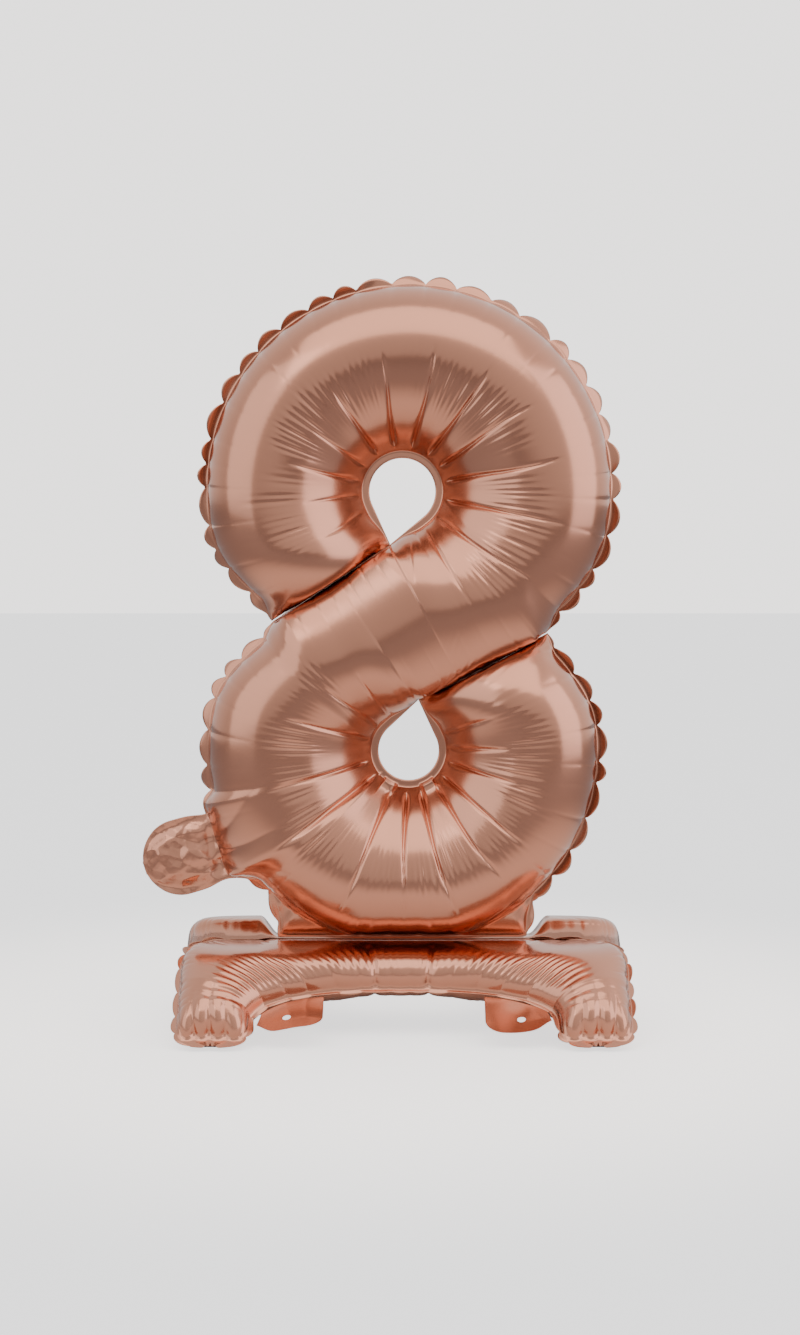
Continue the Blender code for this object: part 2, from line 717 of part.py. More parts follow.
def build():
    clear_scene()
    rose = film_material("rose_foil", ROSE_FILM, 0.22, 1.0)
    inner_film = film_material("clear_valve_film", CLEAR_FILM, 0.35, 0.0)
    root, _, _ = tail_frame()
    tail_fold = fold_axis("filler_tail_fold", (float(root[0]), 0.0, float(root[1])))
    for word, side in (("front", -1), ("back", 1)):
        figure_film("number_" + word + "_film", side, rose)
        build_foot(word, side, rose)
        hang_on(tail_film("tail_" + word + "_film", side, rose), tail_fold)
        valve_sheet("valve_flap_" + word, side, -VALVE_LENGTH, -WELD_GAP, inner_film)
        inlet_end = TAIL_FOLD_REACH + VALVE_INLET_LENGTH
        inlet = valve_sheet("valve_inlet_" + word, side, TAIL_FOLD_REACH, inlet_end, inner_film)
        hang_on(inlet, tail_fold)
    centre_on_base()


build()
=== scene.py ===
import json
import math

import bmesh
import bpy
import numpy as np
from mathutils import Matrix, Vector


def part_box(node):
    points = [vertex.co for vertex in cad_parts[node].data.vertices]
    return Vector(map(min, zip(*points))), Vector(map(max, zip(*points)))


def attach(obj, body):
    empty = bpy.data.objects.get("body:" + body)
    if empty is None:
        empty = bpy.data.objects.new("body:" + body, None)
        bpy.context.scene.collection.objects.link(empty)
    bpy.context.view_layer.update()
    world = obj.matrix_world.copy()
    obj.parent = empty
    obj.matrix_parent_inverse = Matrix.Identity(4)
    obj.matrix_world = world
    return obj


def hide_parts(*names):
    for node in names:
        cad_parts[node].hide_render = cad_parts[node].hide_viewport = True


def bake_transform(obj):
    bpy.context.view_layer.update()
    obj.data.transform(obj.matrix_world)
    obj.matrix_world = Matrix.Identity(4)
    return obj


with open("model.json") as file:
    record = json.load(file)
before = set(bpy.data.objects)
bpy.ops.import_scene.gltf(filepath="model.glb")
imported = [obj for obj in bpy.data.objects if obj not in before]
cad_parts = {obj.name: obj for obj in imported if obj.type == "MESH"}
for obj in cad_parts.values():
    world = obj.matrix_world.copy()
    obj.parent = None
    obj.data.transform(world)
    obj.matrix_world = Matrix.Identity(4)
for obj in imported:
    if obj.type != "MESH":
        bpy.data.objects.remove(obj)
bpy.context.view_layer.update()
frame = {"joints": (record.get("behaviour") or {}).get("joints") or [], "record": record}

# ----------------------------------------------------------
# The figure eight: two sheets of metallised polyester film, heat-sealed round the outline, round
# both eyes and along two slits, so that the gas space is one long tube. Blown up, the flat film
# cannot stretch, so it gathers into sharp creases round the eyes and a scalloped rim outside.
# ----------------------------------------------------------
joints = {joint["name"]: joint for joint in frame["joints"]}
openings = {o["name"]: np.array(o["box_m"]) for o in frame["record"]["physics"]["openings"]}
number_high = np.array(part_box("number_front_film")[1])
middle_x, _, neck_z = joints["front_foot_fold"]["pos_m"]
upper_eye = openings["upper_eye"].mean(axis=0)[[0, 2]]
lower_eye = openings["lower_eye"].mean(axis=0)[[0, 2]]

FACE = 0.00015  # half the thickness of the two sealed films
WELD_RIM = 0.0090  # sealed rim outside the outline
EYE_RIM = 0.007
SLIT_RIM = 0.0012
SEALED_EDGE = 0.002  # rim left where the outline meets the neck or the tail
PETAL_SPACING = 0.029
PETAL_CURL = 0.0072
SLIT_GATHER_SPACING = 0.021
UPPER_SHIFT = 0.005
UPPER_RADIUS = number_high[0] - middle_x - UPPER_SHIFT
UPPER_CENTRE = np.array([middle_x + UPPER_SHIFT, number_high[2] - UPPER_RADIUS])
LOWER_RADIUS = 0.196
LOWER_CENTRE = np.array([middle_x - 0.001, lower_eye[1]])
UPPER_EYE_CLEAR = 0.0315
LOWER_EYE_CLEAR = 0.029
EYE_TIP_REACH = 0.0205
UPPER_TIP_TURN = math.radians(257)
LOWER_TIP_TURN = math.radians(79)
LEFT_NOTCH = np.array([middle_x - 0.127, 0.391])
RIGHT_NOTCH = np.array([middle_x + 0.138, 0.381])
NOTCH_SPAN = math.radians(32)
NECK_HALF_WIDTH = 0.121
WEB_SLANT = 0.30
WEB_DEPTH = 0.010
WEB_START_TURN = math.radians(216)
TUBE_HALF_DEPTH = 0.0575
TUBE_FULLNESS = 0.41  # half depth of a straight tube over its flat width
TUBE_END = 0.052
FIGURE_SIDE_TURN = math.radians(78)


def smooth(value):
    value = np.clip(value, 0.0, 1.0)
    return value * value * (3 - 2 * value)


def polar(centre, radius, turn):
    return np.stack([centre[0] + radius * np.cos(turn), centre[1] + radius * np.sin(turn)], -1)


def upright(flat, depth):
    """Points of the figure's upright plane, set back by a depth."""
    return np.stack([flat[..., 0], depth, flat[..., 1]], -1)


def turn_of(point, centre):
    return math.atan2(point[1] - centre[1], point[0] - centre[0])


def square_to(along):
    """Direction a quarter turn anticlockwise from a line, at the line's own length."""
    return np.array([-along[1], along[0]])


def turn_apart(turn, other):
    """Unsigned angle between two turns."""
    return np.abs((turn - other + math.pi) % (2 * math.pi) - math.pi)


def wander(value, seed, octaves=3):
    """Smooth seeded wave between about -1 and 1 along one coordinate."""
    random = np.random.default_rng(seed)
    total = 0
    for octave in range(octaves):
        rate, shift = 2.0**octave * random.uniform(0.8, 1.2), random.uniform(0, 2 * math.pi)
        total = total + np.sin(value * rate + shift) / 1.6**octave
    return total / 2


def ring_profile(ratio):
    """Height across a foil ring from its inner seal to its outer one, with a crest of 1. The film
    has no hoop tension, so the sine of its slope falls evenly with the area that it encloses."""
    def rise(start):
        angle = np.linspace(math.asin(start), -math.pi / 2, 2000)
        area = (start - np.sin(angle)) / (1 + start)
        radius = np.sqrt(ratio**2 + area * (1 - ratio**2))
        slope = np.tan((angle[1:] + angle[:-1]) / 2)
        height = np.concatenate([[0.0], np.cumsum(slope * np.diff(radius))])
        return (radius - ratio) / (1 - ratio), height

    low, high = 0.2, 0.9999
    for _ in range(40):
        middle = (low + high) / 2
        low, high = (low, middle) if rise(middle)[1][-1] > 0 else (middle, high)
    across, height = rise(low)
    return across, np.maximum(height, 0.0) / height.max()


def straight_profile(across):
    return np.sqrt(np.maximum(0.0, 1 - (2 * across - 1) ** 2))


def scallops(length, spacing, seed):
    """Places of the notches between the petals of a sealed rim, along its length."""
    random = np.random.default_rng(seed)
    places = [random.uniform(0.2, 0.8) * spacing]
    while places[-1] < length:
        places.append(places[-1] + spacing * random.uniform(0.72, 1.28))
    return np.array(places)


def along_line(points):
    return np.concatenate([[0.0], np.cumsum(np.linalg.norm(np.diff(points, axis=0), axis=1))])


def petal_share(along, notches):
    """Where each point lies within its own petal, from 0 to 1, and which petal it is."""
    index = np.searchsorted(notches, along)
    before = np.concatenate([[notches[0] - (notches[1] - notches[0])], notches])[index]
    after = np.concatenate([notches, [notches[-1] + (notches[-1] - notches[-2])]])[index]
    return (along - before) / (after - before), index


def outline_radius(turn, radius, centre):
    """Radius of a loop's outline, easing to the waist notch at both of its ends."""
    result = np.full_like(turn, radius)
    for end, notch in ((turn[0], LEFT_NOTCH), (turn[-1], RIGHT_NOTCH)):
        result -= (radius - math.dist(notch, centre)) * smooth(1 - np.abs(turn - end) / NOTCH_SPAN)
    return result


def neck_radius(turn, radius):
    """Lower outline with the pinched webs of the neck added and the neck seal cut straight."""
    level = (LOWER_CENTRE[1] - neck_z - 0.0005) / np.maximum(-np.sin(turn), 1e-6)
    drop = LOWER_CENTRE[1] - neck_z
    slanted = np.maximum(np.abs(np.cos(turn)) + WEB_SLANT * -np.sin(turn), 1e-6)
    side = (NECK_HALF_WIDTH + WEB_SLANT * drop) / slanted
    return np.where(np.sin(turn) < -0.3, np.minimum(np.maximum(radius, side), level), radius)


tail_joint = joints["filler_tail_fold"]
tail_root = np.array(tail_joint["pos_m"])[[0, 2]]
tail_across = -np.array(tail_joint["axis"])[[0, 2]]
tail_out = np.array([tail_across[1], -tail_across[0]])
if tail_out[0] > 0:
    tail_out = -tail_out
TAIL_TURN = math.atan2(tail_out[1], tail_out[0]) % (2 * math.pi)


def throat_radius(turn, radius):
    """Lower outline drawn out to the straight fold where the filler tail begins."""
    line = ((tail_root - LOWER_CENTRE) @ tail_out) / np.maximum(np.cos(turn - TAIL_TURN), 0.2)
    centre = turn_of(tail_root, LOWER_CENTRE) % (2 * math.pi) - math.radians(2)
    inside = smooth((math.radians(15) - np.abs(turn - centre)) / math.radians(6))
    return radius + (line - radius) * inside


def eye_radius(turn, clear, tip_turn):
    """Edge of an eye: a circle drawn out to a tip by its two tangents."""
    touch = math.acos(clear / (clear + EYE_TIP_REACH))
    away = turn_apart(turn, tip_turn)
    return np.where(away < touch, clear / np.cos(touch - np.minimum(away, touch)), clear)


def eye_edge(turn, centre, clear, tip_turn):
    radius = eye_radius(turn, clear, tip_turn)
    away = turn_apart(turn, tip_turn)
    rim = SLIT_RIM + (EYE_RIM - SLIT_RIM) * smooth(away / math.radians(42))
    return polar(centre, radius, turn), polar(centre, radius + rim, turn)


def slit_edge(start, end, share, side):
    """One side of a slit, from its start to its end, with a narrow sealed rim beside it."""
    along = end - start
    normal = square_to(along) / np.linalg.norm(along) * side
    line = start + share[:, None] * along
    return line + normal * 0.0002, line + normal * (0.0002 + SLIT_RIM)


LOOP_LINES = 520
SIDE_LINES = 62
ACROSS_LINES = 92
RIM_LINES = 4
EYE_LEAD = math.radians(55)
UPPER_LEAVE_TURN = math.radians(-20)
LOWER_JOIN_TURN = math.radians(160)
upper_tip = polar(upper_eye, UPPER_EYE_CLEAR + EYE_TIP_REACH, UPPER_TIP_TURN)
lower_tip = polar(lower_eye, LOWER_EYE_CLEAR + EYE_TIP_REACH, LOWER_TIP_TURN)


def loop_rim(turn, radius, seed, first, last, lean, flat=1.0):
    """Rim width, petal share and petal curl of a loop. Its petals lean to the front or the back."""
    along = np.abs(turn - turn[0]) * radius.mean()
    notches = scallops(along[-1], PETAL_SPACING, seed)
    share, petal = petal_share(along, notches)
    random = np.random.default_rng(seed + 1)
    size = random.uniform(0.82, 1.1, len(notches) + 2)[petal]
    crown = np.sin(np.clip(share, 0, 1) * math.pi) ** 0.7
    near_end = smooth(np.minimum(np.abs(turn - first), np.abs(turn - last)) / math.radians(8))
    rim = SLIT_RIM + (WELD_RIM * (0.15 + 0.95 * crown * size) - SLIT_RIM) * near_end
    rim = rim * flat + SEALED_EDGE * (1 - flat)
    curl = (0.75 * lean + 0.45 * random.uniform(-1, 1, len(notches) + 2)[petal]) * crown * near_end
    return rim, share, curl * flat


def over_rims(values, **how):
    """Values across the film carried on over the rims beside it, as zeros unless told how."""
    return np.pad(values, [(0, 0)] * (values.ndim - 1) + [(RIM_LINES, RIM_LINES)], **how)


def even_across(lines):
    even = np.linspace(0, 1, lines + 1)
    return 0.45 * even + 0.55 * (1 - np.cos(even * math.pi)) / 2


# Upper loop, clockwise from the left slit to the right notch
left = turn_of(LEFT_NOTCH, UPPER_CENTRE) + 2 * math.pi
right = turn_of(RIGHT_NOTCH, UPPER_CENTRE)
turn = np.linspace(left, right, LOOP_LINES + 1)
body_radius = outline_radius(turn, UPPER_RADIUS, UPPER_CENTRE) - WELD_RIM
lean = np.clip(2.5 * np.cos(2 * (turn - math.radians(52))), -1, 1)
rim, upper_share, upper_curl = loop_rim(turn, body_radius, 11, left, right, lean)
near_end = smooth(np.minimum(left - turn, turn - right) / math.radians(8))
body_radius = body_radius + WELD_RIM * (1 - near_end) * 0.8
upper_outer = polar(UPPER_CENTRE, body_radius + rim, turn), polar(UPPER_CENTRE, body_radius, turn)
lead = (UPPER_TIP_TURN - left) * smooth(1 - (left - turn) / EYE_LEAD)
lag = (UPPER_LEAVE_TURN - right) * smooth(1 - (turn - right) / EYE_LEAD)
upper_inner = eye_edge(turn + lead + lag, upper_eye, UPPER_EYE_CLEAR, UPPER_TIP_TURN)

# Lower loop, anticlockwise from the left notch to the right slit
left = turn_of(LEFT_NOTCH, LOWER_CENTRE)
right = turn_of(RIGHT_NOTCH, LOWER_CENTRE) + 2 * math.pi
turn = np.linspace(left, right, LOOP_LINES + 1)
corner = math.atan2(LOWER_CENTRE[1] - neck_z, NECK_HALF_WIDTH)
past_corner = np.abs(turn - 1.5 * math.pi) - math.pi / 2 + corner + math.radians(2)
off_neck = smooth(past_corner / math.radians(6))
outline = outline_radius(turn, LOWER_RADIUS, LOWER_CENTRE)
outline = throat_radius(turn, neck_radius(turn, outline))
root_turn = turn_of(tail_root, LOWER_CENTRE) % (2 * math.pi)
off_tail = smooth((np.abs(turn - root_turn) - math.radians(12)) / math.radians(4))
flat_rim = off_neck * off_tail
body_radius = outline - WELD_RIM * flat_rim - SEALED_EDGE * (1 - flat_rim)
lean = np.clip(-2.5 * np.cos(turn), -1, 1)
rim, lower_share, lower_curl = loop_rim(turn, body_radius, 23, left, right, lean, flat_rim)
near_end = smooth(np.minimum(turn - left, right - turn) / math.radians(8))
body_radius = body_radius + WELD_RIM * (1 - near_end) * 0.8
lower_outer = polar(LOWER_CENTRE, body_radius + rim, turn), polar(LOWER_CENTRE, body_radius, turn)
lead = (LOWER_JOIN_TURN - left) * smooth(1 - (turn - left) / EYE_LEAD)
lag = (LOWER_TIP_TURN + 2 * math.pi - right) * smooth(1 - (right - turn) / EYE_LEAD)
lower_inner = eye_edge(turn + lead + lag, lower_eye, LOWER_EYE_CLEAR, LOWER_TIP_TURN)


def share_beside(point, start, end):
    along = end - start
    return float((point - start) @ along / (along @ along))


near_low = share_beside(upper_tip, lower_tip, RIGHT_NOTCH)
near_top = share_beside(lower_tip, upper_tip, LEFT_NOTCH)
side = np.linspace(0, 1, SIDE_LINES + 1)
down_turn = UPPER_LEAVE_TURN + (UPPER_TIP_TURN - 2 * math.pi - UPPER_LEAVE_TURN) * side[1:]
up_turn = LOWER_TIP_TURN + (LOWER_JOIN_TURN - LOWER_TIP_TURN) * side[1:-1]
rows_a = [
    upper_inner,
    eye_edge(down_turn, upper_eye, UPPER_EYE_CLEAR, UPPER_TIP_TURN),
    slit_edge(upper_tip, LEFT_NOTCH, near_top * side[1:], 1),
    slit_edge(upper_tip, LEFT_NOTCH, near_top + (1 - near_top) * side[1:-1], 1),
    lower_outer,
]
rows_b = [
    upper_outer,
    slit_edge(RIGHT_NOTCH, lower_tip, (1 - near_low) * side[1:], -1),
    slit_edge(RIGHT_NOTCH, lower_tip, 1 - near_low + near_low * side[1:], -1),
    eye_edge(up_turn, lower_eye, LOWER_EYE_CLEAR, LOWER_TIP_TURN),
    lower_inner,
]
loop = np.ones(LOOP_LINES + 1)
place = np.concatenate([-loop, side[1:] - 1, 0 * side[1:], side[1:-1], loop])
blank = np.zeros(3 * SIDE_LINES - 1)
edge_a, seal_a = (np.concatenate([row[i] for row in rows_a]) for i in (0, 1))
edge_b, seal_b = (np.concatenate([row[i] for row in rows_b]) for i in (0, 1))
curl_a = np.concatenate([0 * loop, blank, lower_curl])
curl_b = np.concatenate([upper_curl, blank, 0 * loop])
notch_a = np.concatenate([0.5 * loop, blank + 0.5, lower_share])
notch_b = np.concatenate([upper_share, blank + 0.5, 0.5 * loop])

# The tube's two welded ends lie along the slits
for rows in (edge_a, seal_a, edge_b, seal_b):
    for index, start, end, hand in ((0, upper_tip, LEFT_NOTCH, -1), (-1, RIGHT_NOTCH, lower_tip, 1)):
        along = end - start
        rows[index] = rows[index] + square_to(along) / np.linalg.norm(along) * 0.0004 * hand

RIM_SHARES = np.linspace(1, 0, RIM_LINES + 1)[:-1]


def with_rims(edge_a, seal_a, edge_b, seal_b, across):
    """Rows of flat points: the rim beside edge a, the film between the seals, the rim beside b."""
    rim_a = [seal_a + share * (edge_a - seal_a) for share in RIM_SHARES]
    film = [seal_a + share * (seal_b - seal_a) for share in across]
    rim_b = [seal_b + share * (edge_b - seal_b) for share in RIM_SHARES[::-1]]
    return np.stack(rim_a + film + rim_b, 1)


def rim_columns(values_a, values_b, columns):
    """Values that grow from nothing at each seal to their full size at the rim's edge."""
    result = np.zeros((len(values_a), columns))
    result[:, :RIM_LINES] = values_a[:, None] * RIM_SHARES**1.5
    result[:, -RIM_LINES:] = values_b[:, None] * RIM_SHARES[::-1] ** 1.5
    return result


across = even_across(ACROSS_LINES)
flat = with_rims(edge_a, seal_a, edge_b, seal_b, across)
width = np.linalg.norm(seal_b - seal_a, axis=1)
UPPER_SEAL = UPPER_EYE_CLEAR + EYE_RIM
LOWER_SEAL = LOWER_EYE_CLEAR + EYE_RIM
upper_profile = np.interp(across, *ring_profile(UPPER_SEAL / (UPPER_RADIUS - WELD_RIM)))
lower_profile = np.interp(1 - across, *ring_profile(LOWER_SEAL / (LOWER_RADIUS - WELD_RIM)))
in_upper = smooth(-place)[:, None]
in_lower = smooth(place)[:, None]
height = TUBE_HALF_DEPTH * (in_upper * upper_profile + in_lower * lower_profile)

# Above the neck the belly stays round, and only low webs reach out to the neck's square corners
belly = LOWER_RADIUS - WELD_RIM
web_out = np.concatenate([0 * loop, blank, np.maximum(body_radius - belly, 0.0)])[:, None]
web_turn = np.concatenate([0 * loop, blank, turn])[:, None]
web_out = web_out * smooth((web_turn - WEB_START_TURN) / math.radians(10))
reach_in = np.linalg.norm(seal_b - seal_a, axis=1)[:, None]
belly_share = np.clip((1 - across) * reach_in / np.maximum(reach_in - web_out, 1e-6), 0, 1)
belly_profile = np.interp(belly_share, *ring_profile(LOWER_SEAL / belly))
web = WEB_DEPTH * (1 - np.exp(-across * reach_in / 0.012)) * smooth(web_out / 0.010)
belly_height = ((TUBE_HALF_DEPTH * belly_profile) ** 4 + web**4) ** 0.25
height = np.where(web_out > 0, belly_height, height)
height = height + (1 - in_upper - in_lower) * straight_profile(across) * TUBE_FULLNESS * width[:, None]
length = along_line(flat[:, flat.shape[1] // 2])
from_end = np.minimum(length, length[-1] - length)
end_left = 1 - np.clip(from_end / TUBE_END, 0, 1)
height = height * np.sqrt(1 - end_left**2)[:, None]
height = over_rims(height)

# Main creases round each eye: direction in degrees, reach in units and depth in millimetres
REACH_UNITS = 900  # units of crease reach to a metre
UPPER_CREASES = (
    (166, 100, 3.4), (146, 92, 2.4), (124, 113, 5.0), (99, 121, 5.5), (77, 128, 5.5), (54, 132, 5.5),
    (34, 136, 5.5), (12, 140, 5.5), (-11, 140, 5.5), (-35, 138, 4.5), (-58, 112, 3.2), (186, 84, 2.4),
    (207, 80, 2.2), (-82, 82, 2.0),
)
LOWER_CREASES = (
    (163, 114, 4.5), (194, 126, 5.0), (215, 142, 5.5), (246, 150, 5.5), (267.5, 146, 5.5),
    (286, 146, 5.5), (307, 136, 5.5), (323, 122, 5.0), (345, 104, 4.5), (364, 88, 3.5), (384, 80, 2.6),
    (141, 96, 3.2), (122, 84, 2.4),
)


def eye_creases(points, centre, inner, creases, seed):
    """Depth of the film's gathers round an eye: sharp valleys with a rounded lobe between each."""
    apart = points - centre
    radius = np.linalg.norm(apart, axis=-1)
    turn = np.arctan2(apart[..., 1], apart[..., 0])
    total = np.zeros(radius.shape)
    random = np.random.default_rng(seed)
    for degrees, reach_units, depth_mm in creases:
        reach, depth = reach_units / REACH_UNITS, depth_mm / 1000
        wave = np.sin(radius / 0.021 + random.uniform(0, 6.28))
        bend = math.radians(1.1) * wave * random.uniform(-1, 1)
        signed = (turn - math.radians(degrees) - bend + math.pi) % (2 * math.pi) - math.pi
        aside = np.abs(signed) * radius
        start = smooth((radius - inner) / 0.012)
        run = np.clip((reach - radius) / (reach - inner), 0, 1)
        fall = start * smooth(run / 0.40) ** 0.6
        lobe = np.clip(1 - aside / (0.16 * radius), 0, 1) ** 2
        sharp = np.exp(-((aside / (0.0010 + 0.0008 * run)) ** 1.3))
        total -= depth * (0.14 * fall * run * lobe + 0.46 * fall * sharp)
    return total, radius, turn


def fine_gathers(radius, turn, band, spread, count, seed):
    """Fine radial ripples of the film in a band beyond the eye, in patches."""
    ripple = np.abs(np.sin(turn * count / 2 + 1.5 * wander(turn * 6, seed))) ** 1.5
    ripple = ripple * (0.65 + 0.35 * np.sin(turn * count * 0.37 + 2))
    patch = smooth(0.65 + 0.9 * wander(turn * 5, seed + 1))
    middle = band + 0.010 * wander(turn * 7, seed + 2)
    return -ripple * patch * np.exp(-(((radius - middle) / spread) ** 2))


upper_depth, upper_r, upper_turn = eye_creases(flat, upper_eye, UPPER_SEAL, UPPER_CREASES, 5)
lower_depth, lower_r, lower_turn = eye_creases(flat, lower_eye, LOWER_SEAL, LOWER_CREASES, 6)
above_middle = smooth((0.35 - place) / 0.5)[:, None]
below_middle = smooth((0.35 + place) / 0.5)[:, None]
crease = upper_depth * above_middle + lower_depth * below_middle


def away_from(turn, middle, spread):
    """Fades out, by degrees, what would lie within a spread of one direction."""
    apart = turn_apart(turn, math.radians(middle))
    return smooth((apart - math.radians(spread)) / math.radians(12))


FINE_DEPTH = 0.0011
FINE_SPREAD = 0.018
FINE_COUNT = 128
upper_fine = fine_gathers(upper_r, upper_turn, 0.110, FINE_SPREAD, FINE_COUNT, 31)
crease += FINE_DEPTH * upper_fine * above_middle * away_from(upper_turn, -110, 34)
lower_fine = fine_gathers(lower_r, lower_turn, 0.112, FINE_SPREAD, FINE_COUNT, 41)
crease += FINE_DEPTH * lower_fine * below_middle * away_from(lower_turn, 104, 26)

# Gathers square to the slits
slit_rows = np.arange(LOOP_LINES + 1, LOOP_LINES + 1 + len(blank))
for share_row, edge in ((notch_a, edge_a), (notch_b, edge_b)):
    beside = along_line(edge[slit_rows])
    share_row[slit_rows] = petal_share(beside, scallops(beside[-1], SLIT_GATHER_SPACING, 71))[0]


def rim_pinches(distance, share, reach, width):
    """Short gathers that run in from each notch of a sealed rim."""
    aside = np.minimum(share, 1 - share)[:, None]
    return -np.exp(-aside / width) * np.exp(-distance / reach)


from_a = np.linalg.norm(flat - seal_a[:, None], axis=-1)
from_b = np.linalg.norm(flat - seal_b[:, None], axis=-1)
pinch = rim_pinches(from_a, notch_a, 0.012, 0.055) + rim_pinches(from_b, notch_b, 0.012, 0.055)
crease += 0.0013 * pinch * smooth(height / 0.012)

# The body narrows to the filler tail through a fan of folds
from_root = flat - (tail_root + 0.022 * tail_out)
fan_turn = np.arctan2(from_root @ tail_across, -(from_root @ tail_out))
fan_reach = np.linalg.norm(from_root, axis=-1)
beside_fan = smooth((0.062 - np.abs(from_root @ tail_across)) / 0.02)
folds = np.abs(np.sin(fan_turn * 6.5 + 0.4 * np.sin(fan_reach / 0.018))) ** 0.6 - 1
crease += 0.0023 * folds * np.exp(-((fan_reach / 0.070) ** 2)) * smooth((1.35 - np.abs(fan_turn)) / 0.3)
height = height * (1 - 0.55 * np.exp(-((fan_reach / 0.046) ** 2)) * beside_fan)
crease *= smooth(height / 0.010)

# The sealed rim curls a little to the front or the back, petal by petal
curl = PETAL_CURL * rim_columns(curl_a, curl_b, height.shape[1])


def linked(name, data):
    """A new object in the scene."""
    thing = bpy.data.objects.new(name, data)
    bpy.context.collection.objects.link(thing)
    return thing


def solid_from(name, points, faces):
    """One closed smooth body from its points and faces, with every face turned outward."""
    mesh = bpy.data.meshes.new(name)
    mesh.from_pydata(points.tolist(), [], faces.tolist())
    shape = bmesh.new()
    shape.from_mesh(mesh)
    bmesh.ops.recalc_face_normals(shape, faces=shape.faces)
    shape.to_mesh(mesh)
    shape.free()
    mesh.shade_smooth()
    return linked(name, mesh)


def quads_of(index):
    """The faces between neighbouring lines of a grid of point numbers."""
    corners = [index[:-1, :-1], index[1:, :-1], index[1:, 1:], index[:-1, 1:]]
    return np.stack(corners, -1).reshape(-1, 4)


def closed_pillow(name, front, back):
    """One closed body from the outer faces of its front and back films, joined round the edge."""
    lines, columns = front.shape[:2]
    count = lines * columns
    index = np.arange(count).reshape(lines, columns)
    quads = quads_of(index)
    ring = np.concatenate([index[:-1, 0], index[-1, :-1], index[:0:-1, -1], index[0, :0:-1]])
    after = np.roll(ring, -1)
    edge = np.stack([ring, ring + count, after + count, after], -1)
    faces = np.concatenate([quads, quads[:, ::-1] + count, edge])
    points = np.concatenate([front.reshape(-1, 3), back.reshape(-1, 3)])
    return solid_from(name, points, faces)


def set_attribute(mesh, name, values):
    mesh.attributes.new(name, "FLOAT", "POINT").data.foreach_set("value", values.astype(np.float32).ravel())


# Beside each slit the two tubes swell until they press on each other
pressed = flat.copy()
for start, end in ((upper_tip, LEFT_NOTCH), (lower_tip, RIGHT_NOTCH)):
    along = (end - start) / np.linalg.norm(end - start)
    apart = pressed - start
    reach = apart @ along
    away = apart @ square_to(along)
    inside = smooth(reach / 0.02 + 0.5) * smooth((np.linalg.norm(end - start) - reach) / 0.02 + 0.2)
    swell = 0.0115 * smooth(height / 0.040) * np.exp(-((away / 0.035) ** 2)) * inside
    nearer = np.sign(away) * np.maximum(np.abs(away) - swell, np.minimum(np.abs(away), 0.0004))
    pressed = pressed + (nearer - away)[..., None] * square_to(along)
above_neck = np.maximum(0.0, flat[..., 1] - neck_z)
clear_of_feet = 0.0004 + above_neck * math.tan(FIGURE_SIDE_TURN)
depth = (np.maximum(height, 1e-7) ** -5.0 + clear_of_feet**-5.0) ** -0.2
front = upright(pressed, curl - FACE - depth)
back = upright(pressed, curl + FACE + depth)
number = closed_pillow("number_balloon", front, back)
set_attribute(number.data, "gather", np.stack([crease, crease * 0.9]))


def add_node(tree, kind, settings=None, **inputs):
    """One node with its settings, and its inputs set to values or linked from sockets."""
    node = tree.nodes.new(kind)
    for key, value in (settings or {}).items():
        setattr(node, key, value)
    for key, value in inputs.items():
        by_number = key.startswith("in") and key[2:].isdigit()
        socket = node.inputs[int(key[2:]) if by_number else key.replace("_", " ")]
        if isinstance(value, bpy.types.NodeSocket):
            tree.links.new(value, socket)
        else:
            socket.default_value = value
    return node


def srgb(code):
    """A hex colour as linear red, green, blue and alpha."""
    channels = [int(code[i:i + 2], 16) / 255 for i in (1, 3, 5)]
    return [c / 12.92 if c <= 0.04045 else ((c + 0.055) / 1.055) ** 2.4 for c in channels] + [1.0]


def rose_gold_foil(name, base, roughness, crinkle_mm, crinkle_scale):
    """Polyester film about 50 microns thick, vacuum-metallised and tinted rose gold under a clear
    gloss coat: a smooth metal mirror, slightly blurred by the film's own fine crinkle."""
    material = bpy.data.materials.new(name)
    material.use_nodes = True
    tree = material.node_tree
    shader = tree.nodes["Principled BSDF"]
    shader.inputs["Base Color"].default_value = srgb(base)
    shader.inputs["Metallic"].default_value = 1.0
    shader.inputs["Coat Weight"].default_value = 0.6
    shader.inputs["Coat Roughness"].default_value = 0.12
    shader.inputs["Coat IOR"].default_value = 1.5
    place = add_node(tree, "ShaderNodeTexCoord").outputs["Object"]
    mottle = add_node(tree, "ShaderNodeTexNoise", Vector=place, Scale=38.0, Detail=3.0, Roughness=0.55)
    spread = add_node(tree, "ShaderNodeMapRange", Value=mottle.outputs["Fac"],
                      To_Min=roughness * 0.85, To_Max=roughness * 1.2)
    tree.links.new(spread.outputs["Result"], shader.inputs["Roughness"])
    fine = add_node(tree, "ShaderNodeTexNoise", Vector=place, Scale=crinkle_scale, Detail=4.0,
                    Roughness=0.6)
    bump = add_node(tree, "ShaderNodeBump", Height=fine.outputs["Fac"], Strength=1.0,
                    Distance=crinkle_mm / 1000)
    tree.links.new(bump.outputs["Normal"], shader.inputs["Normal"])
    return material


foil = rose_gold_foil("rose gold metallised polyester film", "#CB8C72", 0.20, 0.06, 40.0)

